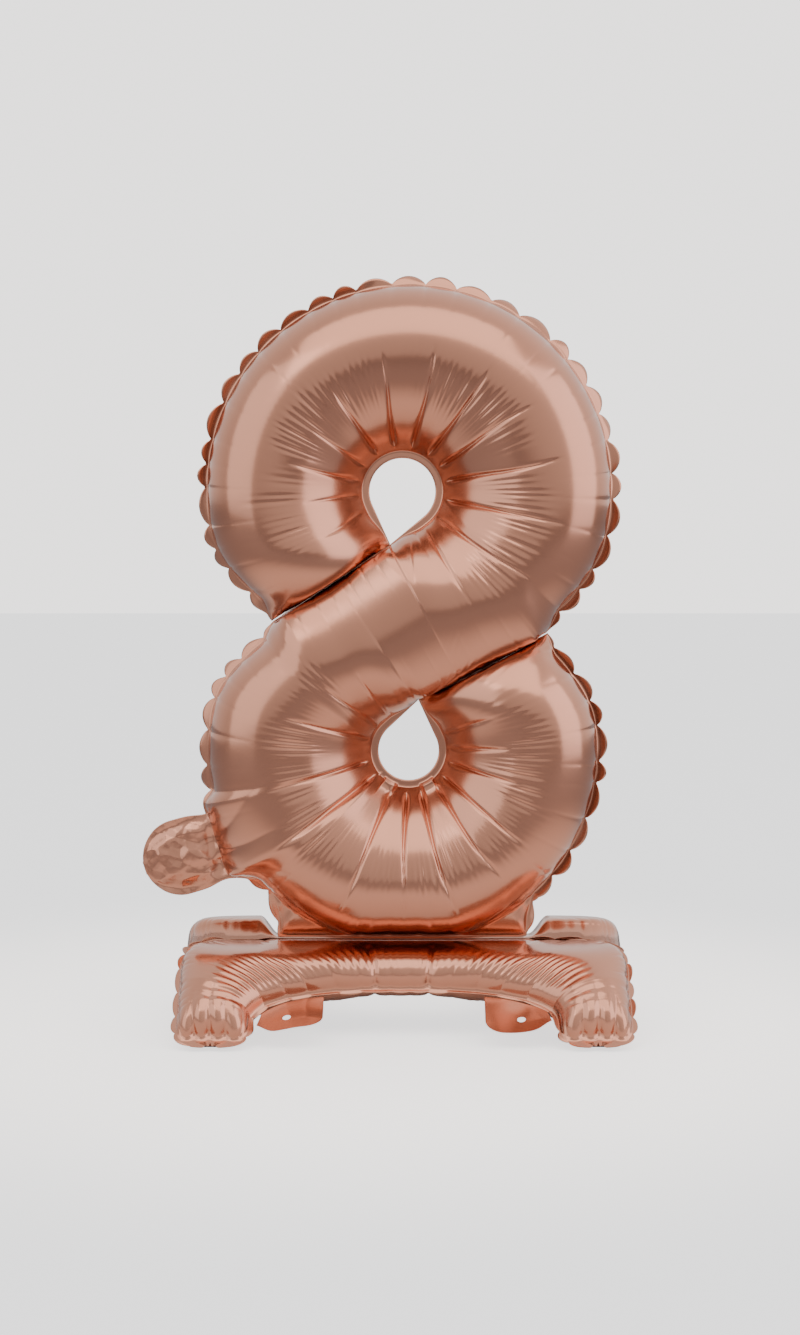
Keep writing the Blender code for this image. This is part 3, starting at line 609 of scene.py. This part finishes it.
# Geometry nodes fold the gathers into the film along its own normals
folding = bpy.data.node_groups.new("fold_gathers_into_film", "GeometryNodeTree")
sockets = folding.interface
sockets.new_socket("Geometry", in_out="INPUT", socket_type="NodeSocketGeometry")
fold_amount = sockets.new_socket("Gather depth", in_out="INPUT", socket_type="NodeSocketFloat")
fold_finish = sockets.new_socket("Film", in_out="INPUT", socket_type="NodeSocketMaterial")
sockets.new_socket("Geometry", in_out="OUTPUT", socket_type="NodeSocketGeometry")
fold_in = add_node(folding, "NodeGroupInput")
gather = add_node(folding, "GeometryNodeInputNamedAttribute", {"data_type": "FLOAT"}, Name="gather")
scaled = add_node(folding, "ShaderNodeMath", {"operation": "MULTIPLY"},
                  in0=gather.outputs["Attribute"], in1=fold_in.outputs["Gather depth"])
normal = add_node(folding, "GeometryNodeInputNormal")
push = add_node(folding, "ShaderNodeVectorMath", {"operation": "SCALE"},
                Vector=normal.outputs["Normal"], Scale=scaled.outputs[0])
moved = add_node(folding, "GeometryNodeSetPosition", Geometry=fold_in.outputs["Geometry"],
                 Offset=push.outputs["Vector"])
joined = add_node(folding, "GeometryNodeRealizeInstances", Geometry=moved.outputs["Geometry"])
coated = add_node(folding, "GeometryNodeSetMaterial", Geometry=joined.outputs["Geometry"],
                  Material=fold_in.outputs["Film"])
add_node(folding, "NodeGroupOutput", Geometry=coated.outputs["Geometry"])


def fold_film(piece, finish):
    """Runs the folding tree on a piece and keeps the result as its plain mesh."""
    modifier = piece.modifiers.new("Gathers", "NODES")
    modifier.node_group = folding
    modifier[fold_amount.identifier] = 1.0
    modifier[fold_finish.identifier] = finish
    graph = bpy.context.evaluated_depsgraph_get()
    mesh = bpy.data.meshes.new_from_object(piece.evaluated_get(graph))
    piece.modifiers.remove(modifier)
    piece.data = mesh
    mesh.shade_smooth()


fold_film(number, foil)
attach(number, "number")
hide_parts("number_front_film", "number_back_film")

# ----------------------------------------------------------
# The two feet: sealed cushions of the same film, each a wide band with two legs round an arch,
# hung from the neck seal and splayed to the front and the back. The arch gathers the film into
# fine ripples, and each toe draws up into deep pleats.
# ----------------------------------------------------------
foot_high = np.array(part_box("front_foot_upper_film")[1])
FOOT_SPLAY = math.radians(57)
FOOT_HALF_WIDTH = foot_high[0] - middle_x
FOOT_BAND = 0.075
FOOT_SHOULDER = 0.040
FOOT_RIM = 0.005
LEG_WIDTH = 0.078
TOE_ROUND = 0.026
TOE_END = 0.030
ARCH_POWER = 2.6
FOLD_REACH = 0.0022
TOE_LIFT = 0.004
FOOT_LENGTH = (neck_z - TOE_LIFT) / math.cos(FOOT_SPLAY)
LEG_INNER = FOOT_HALF_WIDTH - LEG_WIDTH
TOE_START = FOOT_LENGTH - TOE_ROUND
FOOT_CREST = 0.40  # height of each film over the cushion's flat width
FOOT_UNDER_CREST = 0.42
FOOT_CURL = 0.0022
CORD_SPACING = 0.0052
MIDDLE_CREASES = ((-0.026, 0.0036), (0.022, 0.0032))  # place along the arch, and depth
TOE_PLEATS = ((0.27, 0.0034, 0.040), (0.53, 0.0046, 0.052), (0.78, 0.0036, 0.042))
TIP_ROWS = 14  # rows at each end over which the toe draws in at its pleats
FOOT_LINES = 78
FOOT_ACROSS_LINES = 62


def arch_point(share):
    """Point on the arch from its middle, at share 0, to the top of a leg's inner side, at 1."""
    turn = share * math.pi / 2
    x = LEG_INNER * np.maximum(np.sin(turn), 0.0) ** (2 / ARCH_POWER)
    fall = np.maximum(np.cos(turn), 0.0) ** (2 / ARCH_POWER)
    reach = TOE_START - (TOE_START - FOOT_BAND) * fall
    return np.stack([x, reach], -1)


def quarter(centre, radius, first, last, steps):
    return polar(centre, radius, np.linspace(first, last, steps + 1))


def foot_half(steps):
    """Arch side and top side of the right half of a foot, as (x, reach from the fold) points."""
    quarter_turn = math.pi / 2
    shoulder = (FOOT_HALF_WIDTH - FOOT_SHOULDER, FOLD_REACH + FOOT_SHOULDER)
    line = np.linspace(0, 1, steps + 1)[:, None]
    top = line * [shoulder[0], 0] + [0, FOLD_REACH]
    corner = quarter(shoulder, FOOT_SHOULDER, -quarter_turn, 0, steps)
    side = np.array([FOOT_HALF_WIDTH, shoulder[1]]) + line * [0, TOE_START - shoulder[1]]
    toe = quarter((FOOT_HALF_WIDTH - TOE_ROUND, TOE_START), TOE_ROUND, 0, quarter_turn, steps // 2)
    arch = arch_point(np.linspace(0, 1, 3 * steps + 1))
    arch_toe = quarter((LEG_INNER + TOE_ROUND, TOE_START), TOE_ROUND, math.pi, quarter_turn, steps // 2)
    return np.concatenate([arch, arch_toe[1:]]), np.concatenate([top, corner[1:], side[1:], toe[1:]])


def grooves(along, from_seal, places, depths, reaches, width):
    """Sharp grooves that run straight in from a seal at the given places along it."""
    total = np.zeros(from_seal.shape)
    for place, depth, reach in zip(places, depths, reaches):
        aside = np.abs(along - place)[:, None] if along.ndim == 1 else np.abs(along - place)
        run = np.clip(1 - from_seal / reach, 0, 1)
        total -= depth * run**0.8 * np.exp(-aside / (width * (0.5 + run)))
    return total


def in_foot_plane(reach, lift):
    """Distance out from the neck's fold and height above the floor, for a point on a foot."""
    out = reach * math.sin(FOOT_SPLAY) + lift * math.cos(FOOT_SPLAY)
    up = neck_z - reach * math.cos(FOOT_SPLAY) + lift * math.sin(FOOT_SPLAY)
    return out, up


def foot_cushion(name, body, side, seed, plump):
    """One foot with its gathers, at the front or the back. A plump one bulges over the neck's sides."""
    random = np.random.default_rng(seed)
    arch_half, top_half = foot_half(FOOT_LINES)
    edge_a = np.concatenate([arch_half[:0:-1] * [-1, 1], arch_half])
    edge_b = np.concatenate([top_half[:0:-1] * [-1, 1], top_half])
    rib = edge_b - edge_a
    wide = np.linalg.norm(rib, axis=1)
    unit = rib / wide[:, None]
    along_a, along_b = along_line(edge_a), along_line(edge_b)
    notches_a, notches_b = scallops(along_a[-1], 0.021, seed + 1), scallops(along_b[-1], 0.027, seed + 2)
    share_a, petal_a = petal_share(along_a, notches_a)
    share_b, petal_b = petal_share(along_b, notches_b)
    off_neck = smooth((np.abs(edge_b[:, 0]) - NECK_HALF_WIDTH + 0.01) / 0.02)
    crown_a, crown_b = (np.sin(np.clip(part, 0, 1) * math.pi) ** 0.6 for part in (share_a, share_b))
    toe_share = smooth((edge_a[:, 1] - FOOT_BAND - 0.02) / 0.03)
    cut_a = FOOT_RIM * (1 - crown_a) * (0.25 + 0.6 * toe_share)
    cut_b = FOOT_RIM * (1 - crown_b) * 0.8 * off_neck
    across = even_across(FOOT_ACROSS_LINES)
    flat = with_rims(
        edge_a + unit * cut_a[:, None], edge_a + unit * FOOT_RIM,
        edge_b - unit * cut_b[:, None], edge_b - unit * FOOT_RIM, across,
    )
    place_across = over_rims(across, mode="edge")
    notch = sum(np.exp(-np.abs(place_across - spot) * LEG_WIDTH / 0.005) for spot, _, _ in TOE_PLEATS)
    row = np.arange(len(flat))
    near_tip = np.exp(-((row / TIP_ROWS) ** 2)) + np.exp(-((row[::-1] / TIP_ROWS) ** 2))
    flat[..., 1] -= 0.0075 * near_tip[:, None] * np.minimum(notch, 1)
    crest = np.minimum(wide - 2 * FOOT_RIM, LEG_WIDTH)
    line = along_line(flat[:, flat.shape[1] // 2])
    from_end = np.minimum(line, line[-1] - line) - FOOT_RIM
    rise = np.sqrt(1 - (1 - np.clip(from_end / TOE_END, 0, 1)) ** 2)
    height = over_rims(straight_profile(across) * (crest * rise)[:, None])
    from_a = np.linalg.norm(flat - (edge_a + unit * FOOT_RIM)[:, None], axis=-1)
    from_b = np.linalg.norm(flat - (edge_b - unit * FOOT_RIM)[:, None], axis=-1)

    # Fine ripples square to the arch, pleats at the toes and short pinches along the top
    ripples = scallops(along_a[-1], 0.0062, seed + 3)
    depths = random.uniform(0.6, 1.5, len(ripples)) / 1000
    reaches = random.uniform(0.044, 0.066, len(ripples))
    bent = along_a[:, None] + 0.0010 * wander(from_a / 0.02, seed + 4)
    gather = grooves(bent, from_a, ripples, depths, reaches, 0.0010)
    gather = gather * smooth((from_a - 0.006) / 0.010) * 0.5
    drift = 1.4 * wander(along_a / 0.03, seed + 8)[:, None]
    cord = 0.5 + 0.5 * np.cos(2 * math.pi * bent / CORD_SPACING + drift)
    band = smooth((from_a - 0.005) / 0.010) * smooth((0.054 - from_a) / 0.020)
    gather -= 0.0010 * cord * band * smooth(0.75 + 0.5 * wander(along_a / 0.02, seed + 9))[:, None]
    middle = along_a[-1] / 2
    places = [middle + place for place, _ in MIDDLE_CREASES]
    deep = grooves(bent, from_a, places, [depth for _, depth in MIDDLE_CREASES], (0.2, 0.2), 0.0022)
    gather += deep * smooth((from_b - 0.004) / 0.012)
    pinches = np.full(len(notches_a), 0.0012)
    gather += grooves(bent, from_a, notches_a, pinches, pinches * 14, 0.0024)
    toe_depth = 0.0022 * smooth((np.interp(notches_b, along_b, edge_b[:, 1]) - FOOT_LENGTH + 0.050) / 0.03)
    from_tip = np.repeat(np.maximum(from_end, 0.0)[:, None], height.shape[1], 1)
    fanned = 0.5 + (place_across - 0.5) * (1 + 2.5 * from_tip) + 0.02 * wander(from_tip / 0.02, seed + 7)
    lobe, _ = petal_share(fanned, np.array([0.03] + [spot for spot, _, _ in TOE_PLEATS] + [0.97]))
    pleats = 0.0
    for spot, depth, reach in TOE_PLEATS:
        run = np.clip(1 - from_tip / reach, 0, 1)
        aside = np.abs(fanned - spot) * LEG_WIDTH
        pleats = pleats + depth * run * np.exp(-((aside / (0.0030 + 0.0060 * run)) ** 1.3))
    tip_run = np.clip(1 - from_tip / 0.034, 0, 1)
    pleats = pleats + 0.0022 * tip_run * (1 - np.sin(np.clip(lobe, 0, 1) * math.pi))
    slanted = along_b[:, None] + 0.002 * wander(from_b / 0.02, seed + 5)
    beyond_neck = np.interp(notches_b, along_b, off_neck)
    short = (toe_depth + 0.0012) * beyond_neck
    gather += grooves(slanted, from_b, notches_b, short, toe_depth * 5 + 0.012, 0.0026)
    top_fine = scallops(along_b[-1], 0.010, seed + 6)
    fine_depth = random.uniform(0.2, 0.9, len(top_fine)) / 1000 * np.interp(top_fine, along_b, off_neck)
    fine_reach = random.uniform(0.008, 0.022, len(top_fine))
    gather += grooves(slanted, from_b, top_fine, fine_depth, fine_reach, 0.0018)
    gather = gather * smooth((from_tip - 0.020) / 0.016) - pleats
    gather *= smooth(height / 0.008)
    curl_a = random.uniform(-1, 1, len(notches_a) + 2)[petal_a] * crown_a
    curl_b = random.uniform(-1, 1, len(notches_b) + 2)[petal_b] * crown_b * off_neck
    curl = FOOT_CURL * rim_columns(curl_a, curl_b, height.shape[1])

    beside = smooth((np.abs(flat[..., 0]) - NECK_HALF_WIDTH - 0.002) / 0.019)
    crown = over_rims(straight_profile(across))
    fuller = np.maximum(crown, 1e-6) ** (-3 * plump * beside)
    out, up = in_foot_plane(flat[..., 1], curl + FACE + height * (FOOT_CREST + plump * beside) * fuller)
    soft = 0.0002 + 0.08 * np.maximum(out, 0.0)
    forward = np.maximum(out, 0.0)
    ceiling = neck_z - forward * math.tan(math.radians(3)) - (1 - beside) * forward**2 / 0.9
    ceiling = ceiling + beside * np.minimum(12 * plump * forward, 0.10 * plump)
    up = ceiling - soft * np.logaddexp(0.0, (ceiling - up) / soft)
    upper = np.stack([flat[..., 0] + middle_x, side * out, up], -1)
    sag = 1.6 * plump * (1 - smooth((np.abs(flat[..., 0]) - 0.050) / 0.030))
    out, up = in_foot_plane(flat[..., 1], curl - FACE - height * (FOOT_UNDER_CREST + sag))
    out = np.maximum(out, 0.0003 + np.maximum(neck_z - up, 0.0) * math.tan(math.radians(10)))
    lower = np.stack([flat[..., 0] + middle_x, side * out, np.maximum(up, 0.0)], -1)
    cushion = closed_pillow(name, upper, lower)
    on_floor = smooth((up - 0.0005) / 0.004)
    set_attribute(cushion.data, "gather", np.stack([gather, gather * 0.8 * on_floor]))
    fold_film(cushion, foil)
    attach(cushion, body)
    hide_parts(body + "_upper_film", body + "_lower_film")


foot_cushion("front_cushion", "front_foot", -1, 101, 0.0)
foot_cushion("back_cushion", "back_foot", 1, 202, 0.16)

# ----------------------------------------------------------
# The filler tail: a flat round-ended sleeve of the same two films at the lower left, die-cut in one
# with the figure, sealed round its edge and crumpled from handling.
# ----------------------------------------------------------
TAIL_LENGTH = 0.072
TAIL_HALF_WIDTH = 0.037
TAIL_RIM = 0.005
SLEEVE = 0.010  # part of the sleeve that reaches into the figure
TAIL_LINES = 120
TAIL_ACROSS_LINES = 100


def crumple(points, seed, size):
    """Crumple of a handled sheet: small cones that meet at sharp ridges, between about -1 and 1."""
    random = np.random.default_rng(seed)
    low, high = points.reshape(-1, 2).min(0) - size, points.reshape(-1, 2).max(0) + size
    total = np.zeros(points.shape[:-1])
    for scale, weight in ((size, 1.0), (size * 0.5, 0.22)):
        count = int(np.prod((high - low) / scale)) + 4
        seeds = random.uniform(low, high, (count, 2))
        nearest = np.full(points.shape[:-1], 9.0)
        for spot in seeds:
            nearest = np.minimum(nearest, np.linalg.norm(points - spot, axis=-1))
        total += weight * (np.sqrt((nearest / scale) ** 2 + 0.12) - 0.62)
    return total * 1.4


share = np.linspace(0, 1, TAIL_LINES + 1) ** 0.9
straight = 1 - TAIL_HALF_WIDTH / (TAIL_LENGTH + SLEEVE)
into = np.clip((share - straight) / (1 - straight), 0.0, 0.985)
waist = 1 - 0.10 * np.exp(-(((share * (TAIL_LENGTH + SLEEVE) - SLEEVE) / 0.014) ** 2))
half = TAIL_HALF_WIDTH * np.sqrt(1 - into**2) * waist
spread = np.linspace(-1, 1, TAIL_ACROSS_LINES + 1)
aside = half[:, None] * spread
reach = share[:, None] * (TAIL_LENGTH + SLEEVE) - SLEEVE + 0 * aside
tail_flat = tail_root + reach[..., None] * tail_out + aside[..., None] * tail_across
rim_left = np.minimum(half[:, None] - np.abs(aside), TAIL_LENGTH - reach)
pocket = 0.0045 * smooth(reach / 0.018) * smooth((rim_left - TAIL_RIM) / 0.012)
local = np.stack([reach, aside], -1)
flutter = 0.0036 * crumple(local, 65, 0.026) * smooth((reach - 0.002) / 0.018)
pleats = np.sin(aside / 0.0042 + 1.2 * wander(reach / 0.02, 62)) * np.exp(-np.abs(reach) / 0.018)
pleats = 0.0014 * pleats * smooth((reach + SLEEVE) / SLEEVE)
for_front = 0.0015 * crumple(local, 66, 0.015) * smooth((rim_left - 0.001) / 0.006)
for_back = 0.0013 * crumple(local, 64, 0.017) * smooth((rim_left - 0.001) / 0.006)
lift = FACE + pocket + 0.0012 + 0.0022 * smooth(-reach / SLEEVE)
front = upright(tail_flat, flutter + pleats - lift)
back = upright(tail_flat, flutter + pleats + lift)
tail = closed_pillow("filler_tail_skin", front, back)
set_attribute(tail.data, "gather", np.stack([for_front, for_back]))
fold_film(tail, foil)
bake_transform(tail)
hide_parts("tail_front_film", "tail_back_film")

# ----------------------------------------------------------
# The filling valve: two leaves of clear polyethylene sealed inside the neck of the tail, which lie
# shut against each other once the balloon is filled. They run past the fold and wave with the tail's film.
# ----------------------------------------------------------
VALVE_INSIDE = -0.090  # ends of a leaf, measured out from the tail's fold
VALVE_MOUTH = 0.052
VALVE_HALF_WIDTH = 0.021
VALVE_NEAR = 0.0002  # faces of a leaf, measured from the middle
VALVE_FAR = 0.0005

clear_film = bpy.data.materials.new("clear polyethylene valve film")
clear_film.use_nodes = True
clear_shader = clear_film.node_tree.nodes["Principled BSDF"]
clear_shader.inputs["Base Color"].default_value = srgb("#F2F3F0")
clear_shader.inputs["Roughness"].default_value = 0.3
clear_shader.inputs["Transmission Weight"].default_value = 0.85
clear_shader.inputs["IOR"].default_value = 1.51


def waving_at(rows, cross):
    """The tail's flutter at a leaf's own points, and none inside the figure."""
    lines = [np.interp(rows[:, 0], reach[:, 0], column) for column in (flutter + pleats).T]
    halves = np.interp(rows[:, 0], reach[:, 0], half)
    waves = [np.interp(cross, spread * wide, line) for wide, line in zip(halves, np.stack(lines, 1))]
    return np.stack(waves) * smooth(rows / 0.004 + 1)


def valve_leaf(word, side):
    """One leaf of the valve, waving with the film round it."""
    rows = np.linspace(VALVE_INSIDE, VALVE_MOUTH, 110)[:, None]
    cross = np.linspace(-VALVE_HALF_WIDTH, VALVE_HALF_WIDTH, 40)
    spots = tail_root + rows[..., None] * tail_out + cross[:, None] * tail_across
    wave = waving_at(rows, cross)
    films = [upright(spots, wave + side * gap) for gap in (VALVE_NEAR, VALVE_FAR)]
    leaf = closed_pillow("valve_leaf_" + word, *films)
    leaf.data.materials.append(clear_film)
    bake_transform(leaf)
    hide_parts("valve_flap_" + word, "valve_inlet_" + word)


for word, side in (("front", -1), ("back", 1)):
    valve_leaf(word, side)

# ----------------------------------------------------------
# The tie tabs: small lugs of the welded film under each arch, punched with a hole for a ribbon.
# Nothing holds them flat, so each one has curled in its own way.
# ----------------------------------------------------------
TAB_INNER = 0.076
TAB_OUTER = 0.134
TAB_REACH = 0.052
TAB_CORNER = 0.018
TAB_HOLE_RADIUS = 0.004
TAB_HOLE_PLACE = 0.110
TAB_HOLE_REACH = 0.032


def arch_reach(x):
    points = arch_point(np.linspace(0, 1, 400))
    return np.interp(x, points[:, 0], points[:, 1])


def tie_tab(body, side, hand, seed, curl_mm, ripple_mm):
    """A lug with its hole, as rings of points that run from the hole out to the lug's outline."""
    top = arch_reach(TAB_INNER)
    end = top + TAB_REACH
    x = np.linspace(TAB_INNER, TAB_OUTER, 40)
    flare = np.linspace(0, 1, 30)[:, None]
    hip = np.array([TAB_OUTER + 0.004, arch_reach(TAB_OUTER) + 0.018])
    low = np.array([TAB_HOLE_PLACE + 0.006, end])
    flank = (1 - flare) ** 3 * hip + 3 * flare * (1 - flare) ** 2 * (hip + [-0.010, 0.006])
    flank = flank + 3 * flare**2 * (1 - flare) * (low + [0.012, 0.0]) + flare**3 * low
    outline = np.concatenate([
        np.stack([x, arch_reach(x) + 0.0015], -1), flank,
        quarter((TAB_INNER + TAB_CORNER, end - TAB_CORNER), TAB_CORNER, math.pi / 2, math.pi, 24),
    ])
    outline = np.concatenate([outline, outline[:1]])
    line = along_line(outline)
    even = np.linspace(0, line[-1], 241)[:-1]
    outline = np.stack([np.interp(even, line, outline[:, k]) for k in (0, 1)], -1)
    centre = np.array([TAB_HOLE_PLACE, top + TAB_HOLE_REACH])
    apart = outline - centre
    turn = np.arctan2(apart[:, 1], apart[:, 0])
    hole = polar(centre, TAB_HOLE_RADIUS, turn)
    rings = np.linspace(0, 1, 46) ** 1.2
    flat = hole + rings[:, None, None] * (outline - hole)
    reach = np.clip((flat[..., 1] - top) / TAB_REACH, 0, 1)
    spread = (flat[..., 0] - centre[0]) / (TAB_OUTER - TAB_INNER) * 2
    free = smooth(reach * 1.4)
    bend = curl_mm / 1000 * free * (0.75 * reach**2 + 0.45 * spread * reach * hand)
    bend = bend + ripple_mm / 1000 * free * np.sin(spread * 3.1 + seed) * (1 - 0.4 * reach)
    bend = bend + 0.0004 * crumple(flat, seed, 0.06) * free
    x = middle_x + hand * flat[..., 0]
    films = []
    for face in (1, -1):
        out, up = in_foot_plane(flat[..., 1], bend + face * FACE)
        films.append(np.stack([x, side * out, np.maximum(up, 0.0004 + face * FACE)], -1))
    rows, columns = films[0].shape[:2]
    count = rows * columns
    index = np.arange(count).reshape(rows, columns)
    index = np.concatenate([index, index[:, :1]], 1)
    quads = quads_of(index)
    ends = index[0], index[-1]
    edges = [np.stack([row[:-1], row[1:], row[1:] + count, row[:-1] + count], -1) for row in ends]
    faces = np.concatenate([quads, quads[:, ::-1] + count, edges[0], edges[1][:, ::-1]])
    lug = solid_from(body + "_lug", np.concatenate([film.reshape(-1, 3) for film in films]), faces)
    lug.data.materials.append(foil)
    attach(lug, body)
    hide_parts(body)


tie_tab("front_left_tab", -1, -1, 3, 11, 1.8)
tie_tab("front_right_tab", -1, 1, 5, 7, 2.4)
tie_tab("back_left_tab", 1, -1, 7, 6, 1.8)
tie_tab("back_right_tab", 1, 1, 9, 8, 1.4)

# ----------------------------------------------------------
# The studio: a matt paper floor whose colour is a painted pool of light, pale round the figure and grey
# farther out, and which glows white to the camera alone; a softly lit room and soft boxes left, right and
# overhead.
# None of it belongs to the balloon.
# ----------------------------------------------------------
floor_mesh = bpy.data.meshes.new("studio_floor")
floor_mesh.from_pydata([(-6, -6, 0), (6, -6, 0), (6, 6, 0), (-6, 6, 0)], [], [(0, 1, 2, 3)])
floor = linked("studio_floor", floor_mesh)
paper = bpy.data.materials.new("white paper")
paper.use_nodes = True
sheet = paper.node_tree
matt = sheet.nodes["Principled BSDF"].inputs


def eased(tree, value, start, end, low, high):
    """A value brought smoothly from one range to another."""
    node = add_node(tree, "ShaderNodeMapRange", {"interpolation_type": "SMOOTHSTEP"}, Value=value,
                    From_Min=start, From_Max=end, To_Min=low, To_Max=high)
    return node.outputs["Result"]


# Painted pool of light on the floor: its colour is pale out to 0.3 m from the middle and grey beyond 0.8 m.
spot = add_node(sheet, "ShaderNodeTexCoord").outputs["Object"]
far = add_node(sheet, "ShaderNodeVectorMath", {"operation": "LENGTH"}, in0=spot).outputs["Value"]
painted_light_pool = add_node(sheet, "ShaderNodeMix", {"data_type": "RGBA"}, in0=eased(sheet, far, 0.30, 0.80, 0.0, 1.0),
                in6=srgb("#E6E0DB"), in7=srgb("#909195"))
sheet.links.new(painted_light_pool.outputs[2], matt["Base Color"])
matt["Roughness"].default_value = 0.9
matt["Emission Color"].default_value = srgb("#FFFFFF")
seen = add_node(sheet, "ShaderNodeLightPath").outputs["Is Camera Ray"]
glow = add_node(sheet, "ShaderNodeMath", {"operation": "MULTIPLY"}, in0=seen, in1=1.5)
sheet.links.new(glow.outputs[0], matt["Emission Strength"])
floor_mesh.materials.append(paper)

world = bpy.data.worlds.new("studio")
bpy.context.scene.world = world
world.use_nodes = True
room = world.node_tree
facing = add_node(room, "ShaderNodeTexCoord").outputs["Generated"]
parts = add_node(room, "ShaderNodeSeparateXYZ", Vector=facing)
behind = eased(room, parts.outputs["Y"], -0.45, 0.6, 0.76, 1.04)
above = eased(room, parts.outputs["Z"], -0.1, 0.8, 0.0, 0.16)
aside = eased(room, parts.outputs["X"], -0.9, 0.9, -0.14, 0.10)
light = add_node(room, "ShaderNodeMath", {"operation": "ADD"}, in0=behind, in1=above)
light = add_node(room, "ShaderNodeMath", {"operation": "ADD"}, in0=light.outputs[0], in1=aside)
seen = add_node(room, "ShaderNodeLightPath").outputs["Is Camera Ray"]
strength = add_node(room, "ShaderNodeMix", {"data_type": "FLOAT"}, Factor=seen,
                    A=light.outputs[0], B=2.3)
backdrop = room.nodes["Background"]
room.links.new(strength.outputs["Result"], backdrop.inputs["Strength"])
backdrop.inputs["Color"].default_value = srgb("#FFFCFA")


MIDDLE = (0, 0, 0.36)
CAMERA_DISTANCE = 2.5
CAMERA_RISE = math.radians(5)


def soft_box(name, place, width, height, power, tint):
    data = bpy.data.lights.new(name, "AREA")
    data.shape = "RECTANGLE"
    data.size, data.size_y = width, height
    data.energy = power
    data.color = tint
    lamp = linked(name, data)
    lamp.location = place
    direction = Vector(MIDDLE) - Vector(place)
    lamp.rotation_euler = direction.to_track_quat("-Z", "Y").to_euler()


soft_box("box_left", (-1.7, -1.2, 1.1), 2.1, 2.0, 12, (1, 1, 1))
soft_box("box_right", (1.8, -0.7, 0.9), 1.7, 2.0, 15, (1, 0.95, 0.98))
soft_box("box_top", (0, -1.0, 1.9), 2.4, 1.5, 16, (1, 0.93, 0.86))

camera_data = bpy.data.cameras.new("camera")
camera_data.lens = 70.1
camera_data.sensor_width = 36
camera_data.dof.use_dof = False
camera = linked("camera", camera_data)
aim = Vector((0.0137, 0, 0.3469))
away = Vector((0, -math.cos(CAMERA_RISE), math.sin(CAMERA_RISE)))
camera.location = aim + CAMERA_DISTANCE * away
camera.rotation_euler = (aim - camera.location).to_track_quat("-Z", "Y").to_euler()
bpy.context.scene.camera = camera
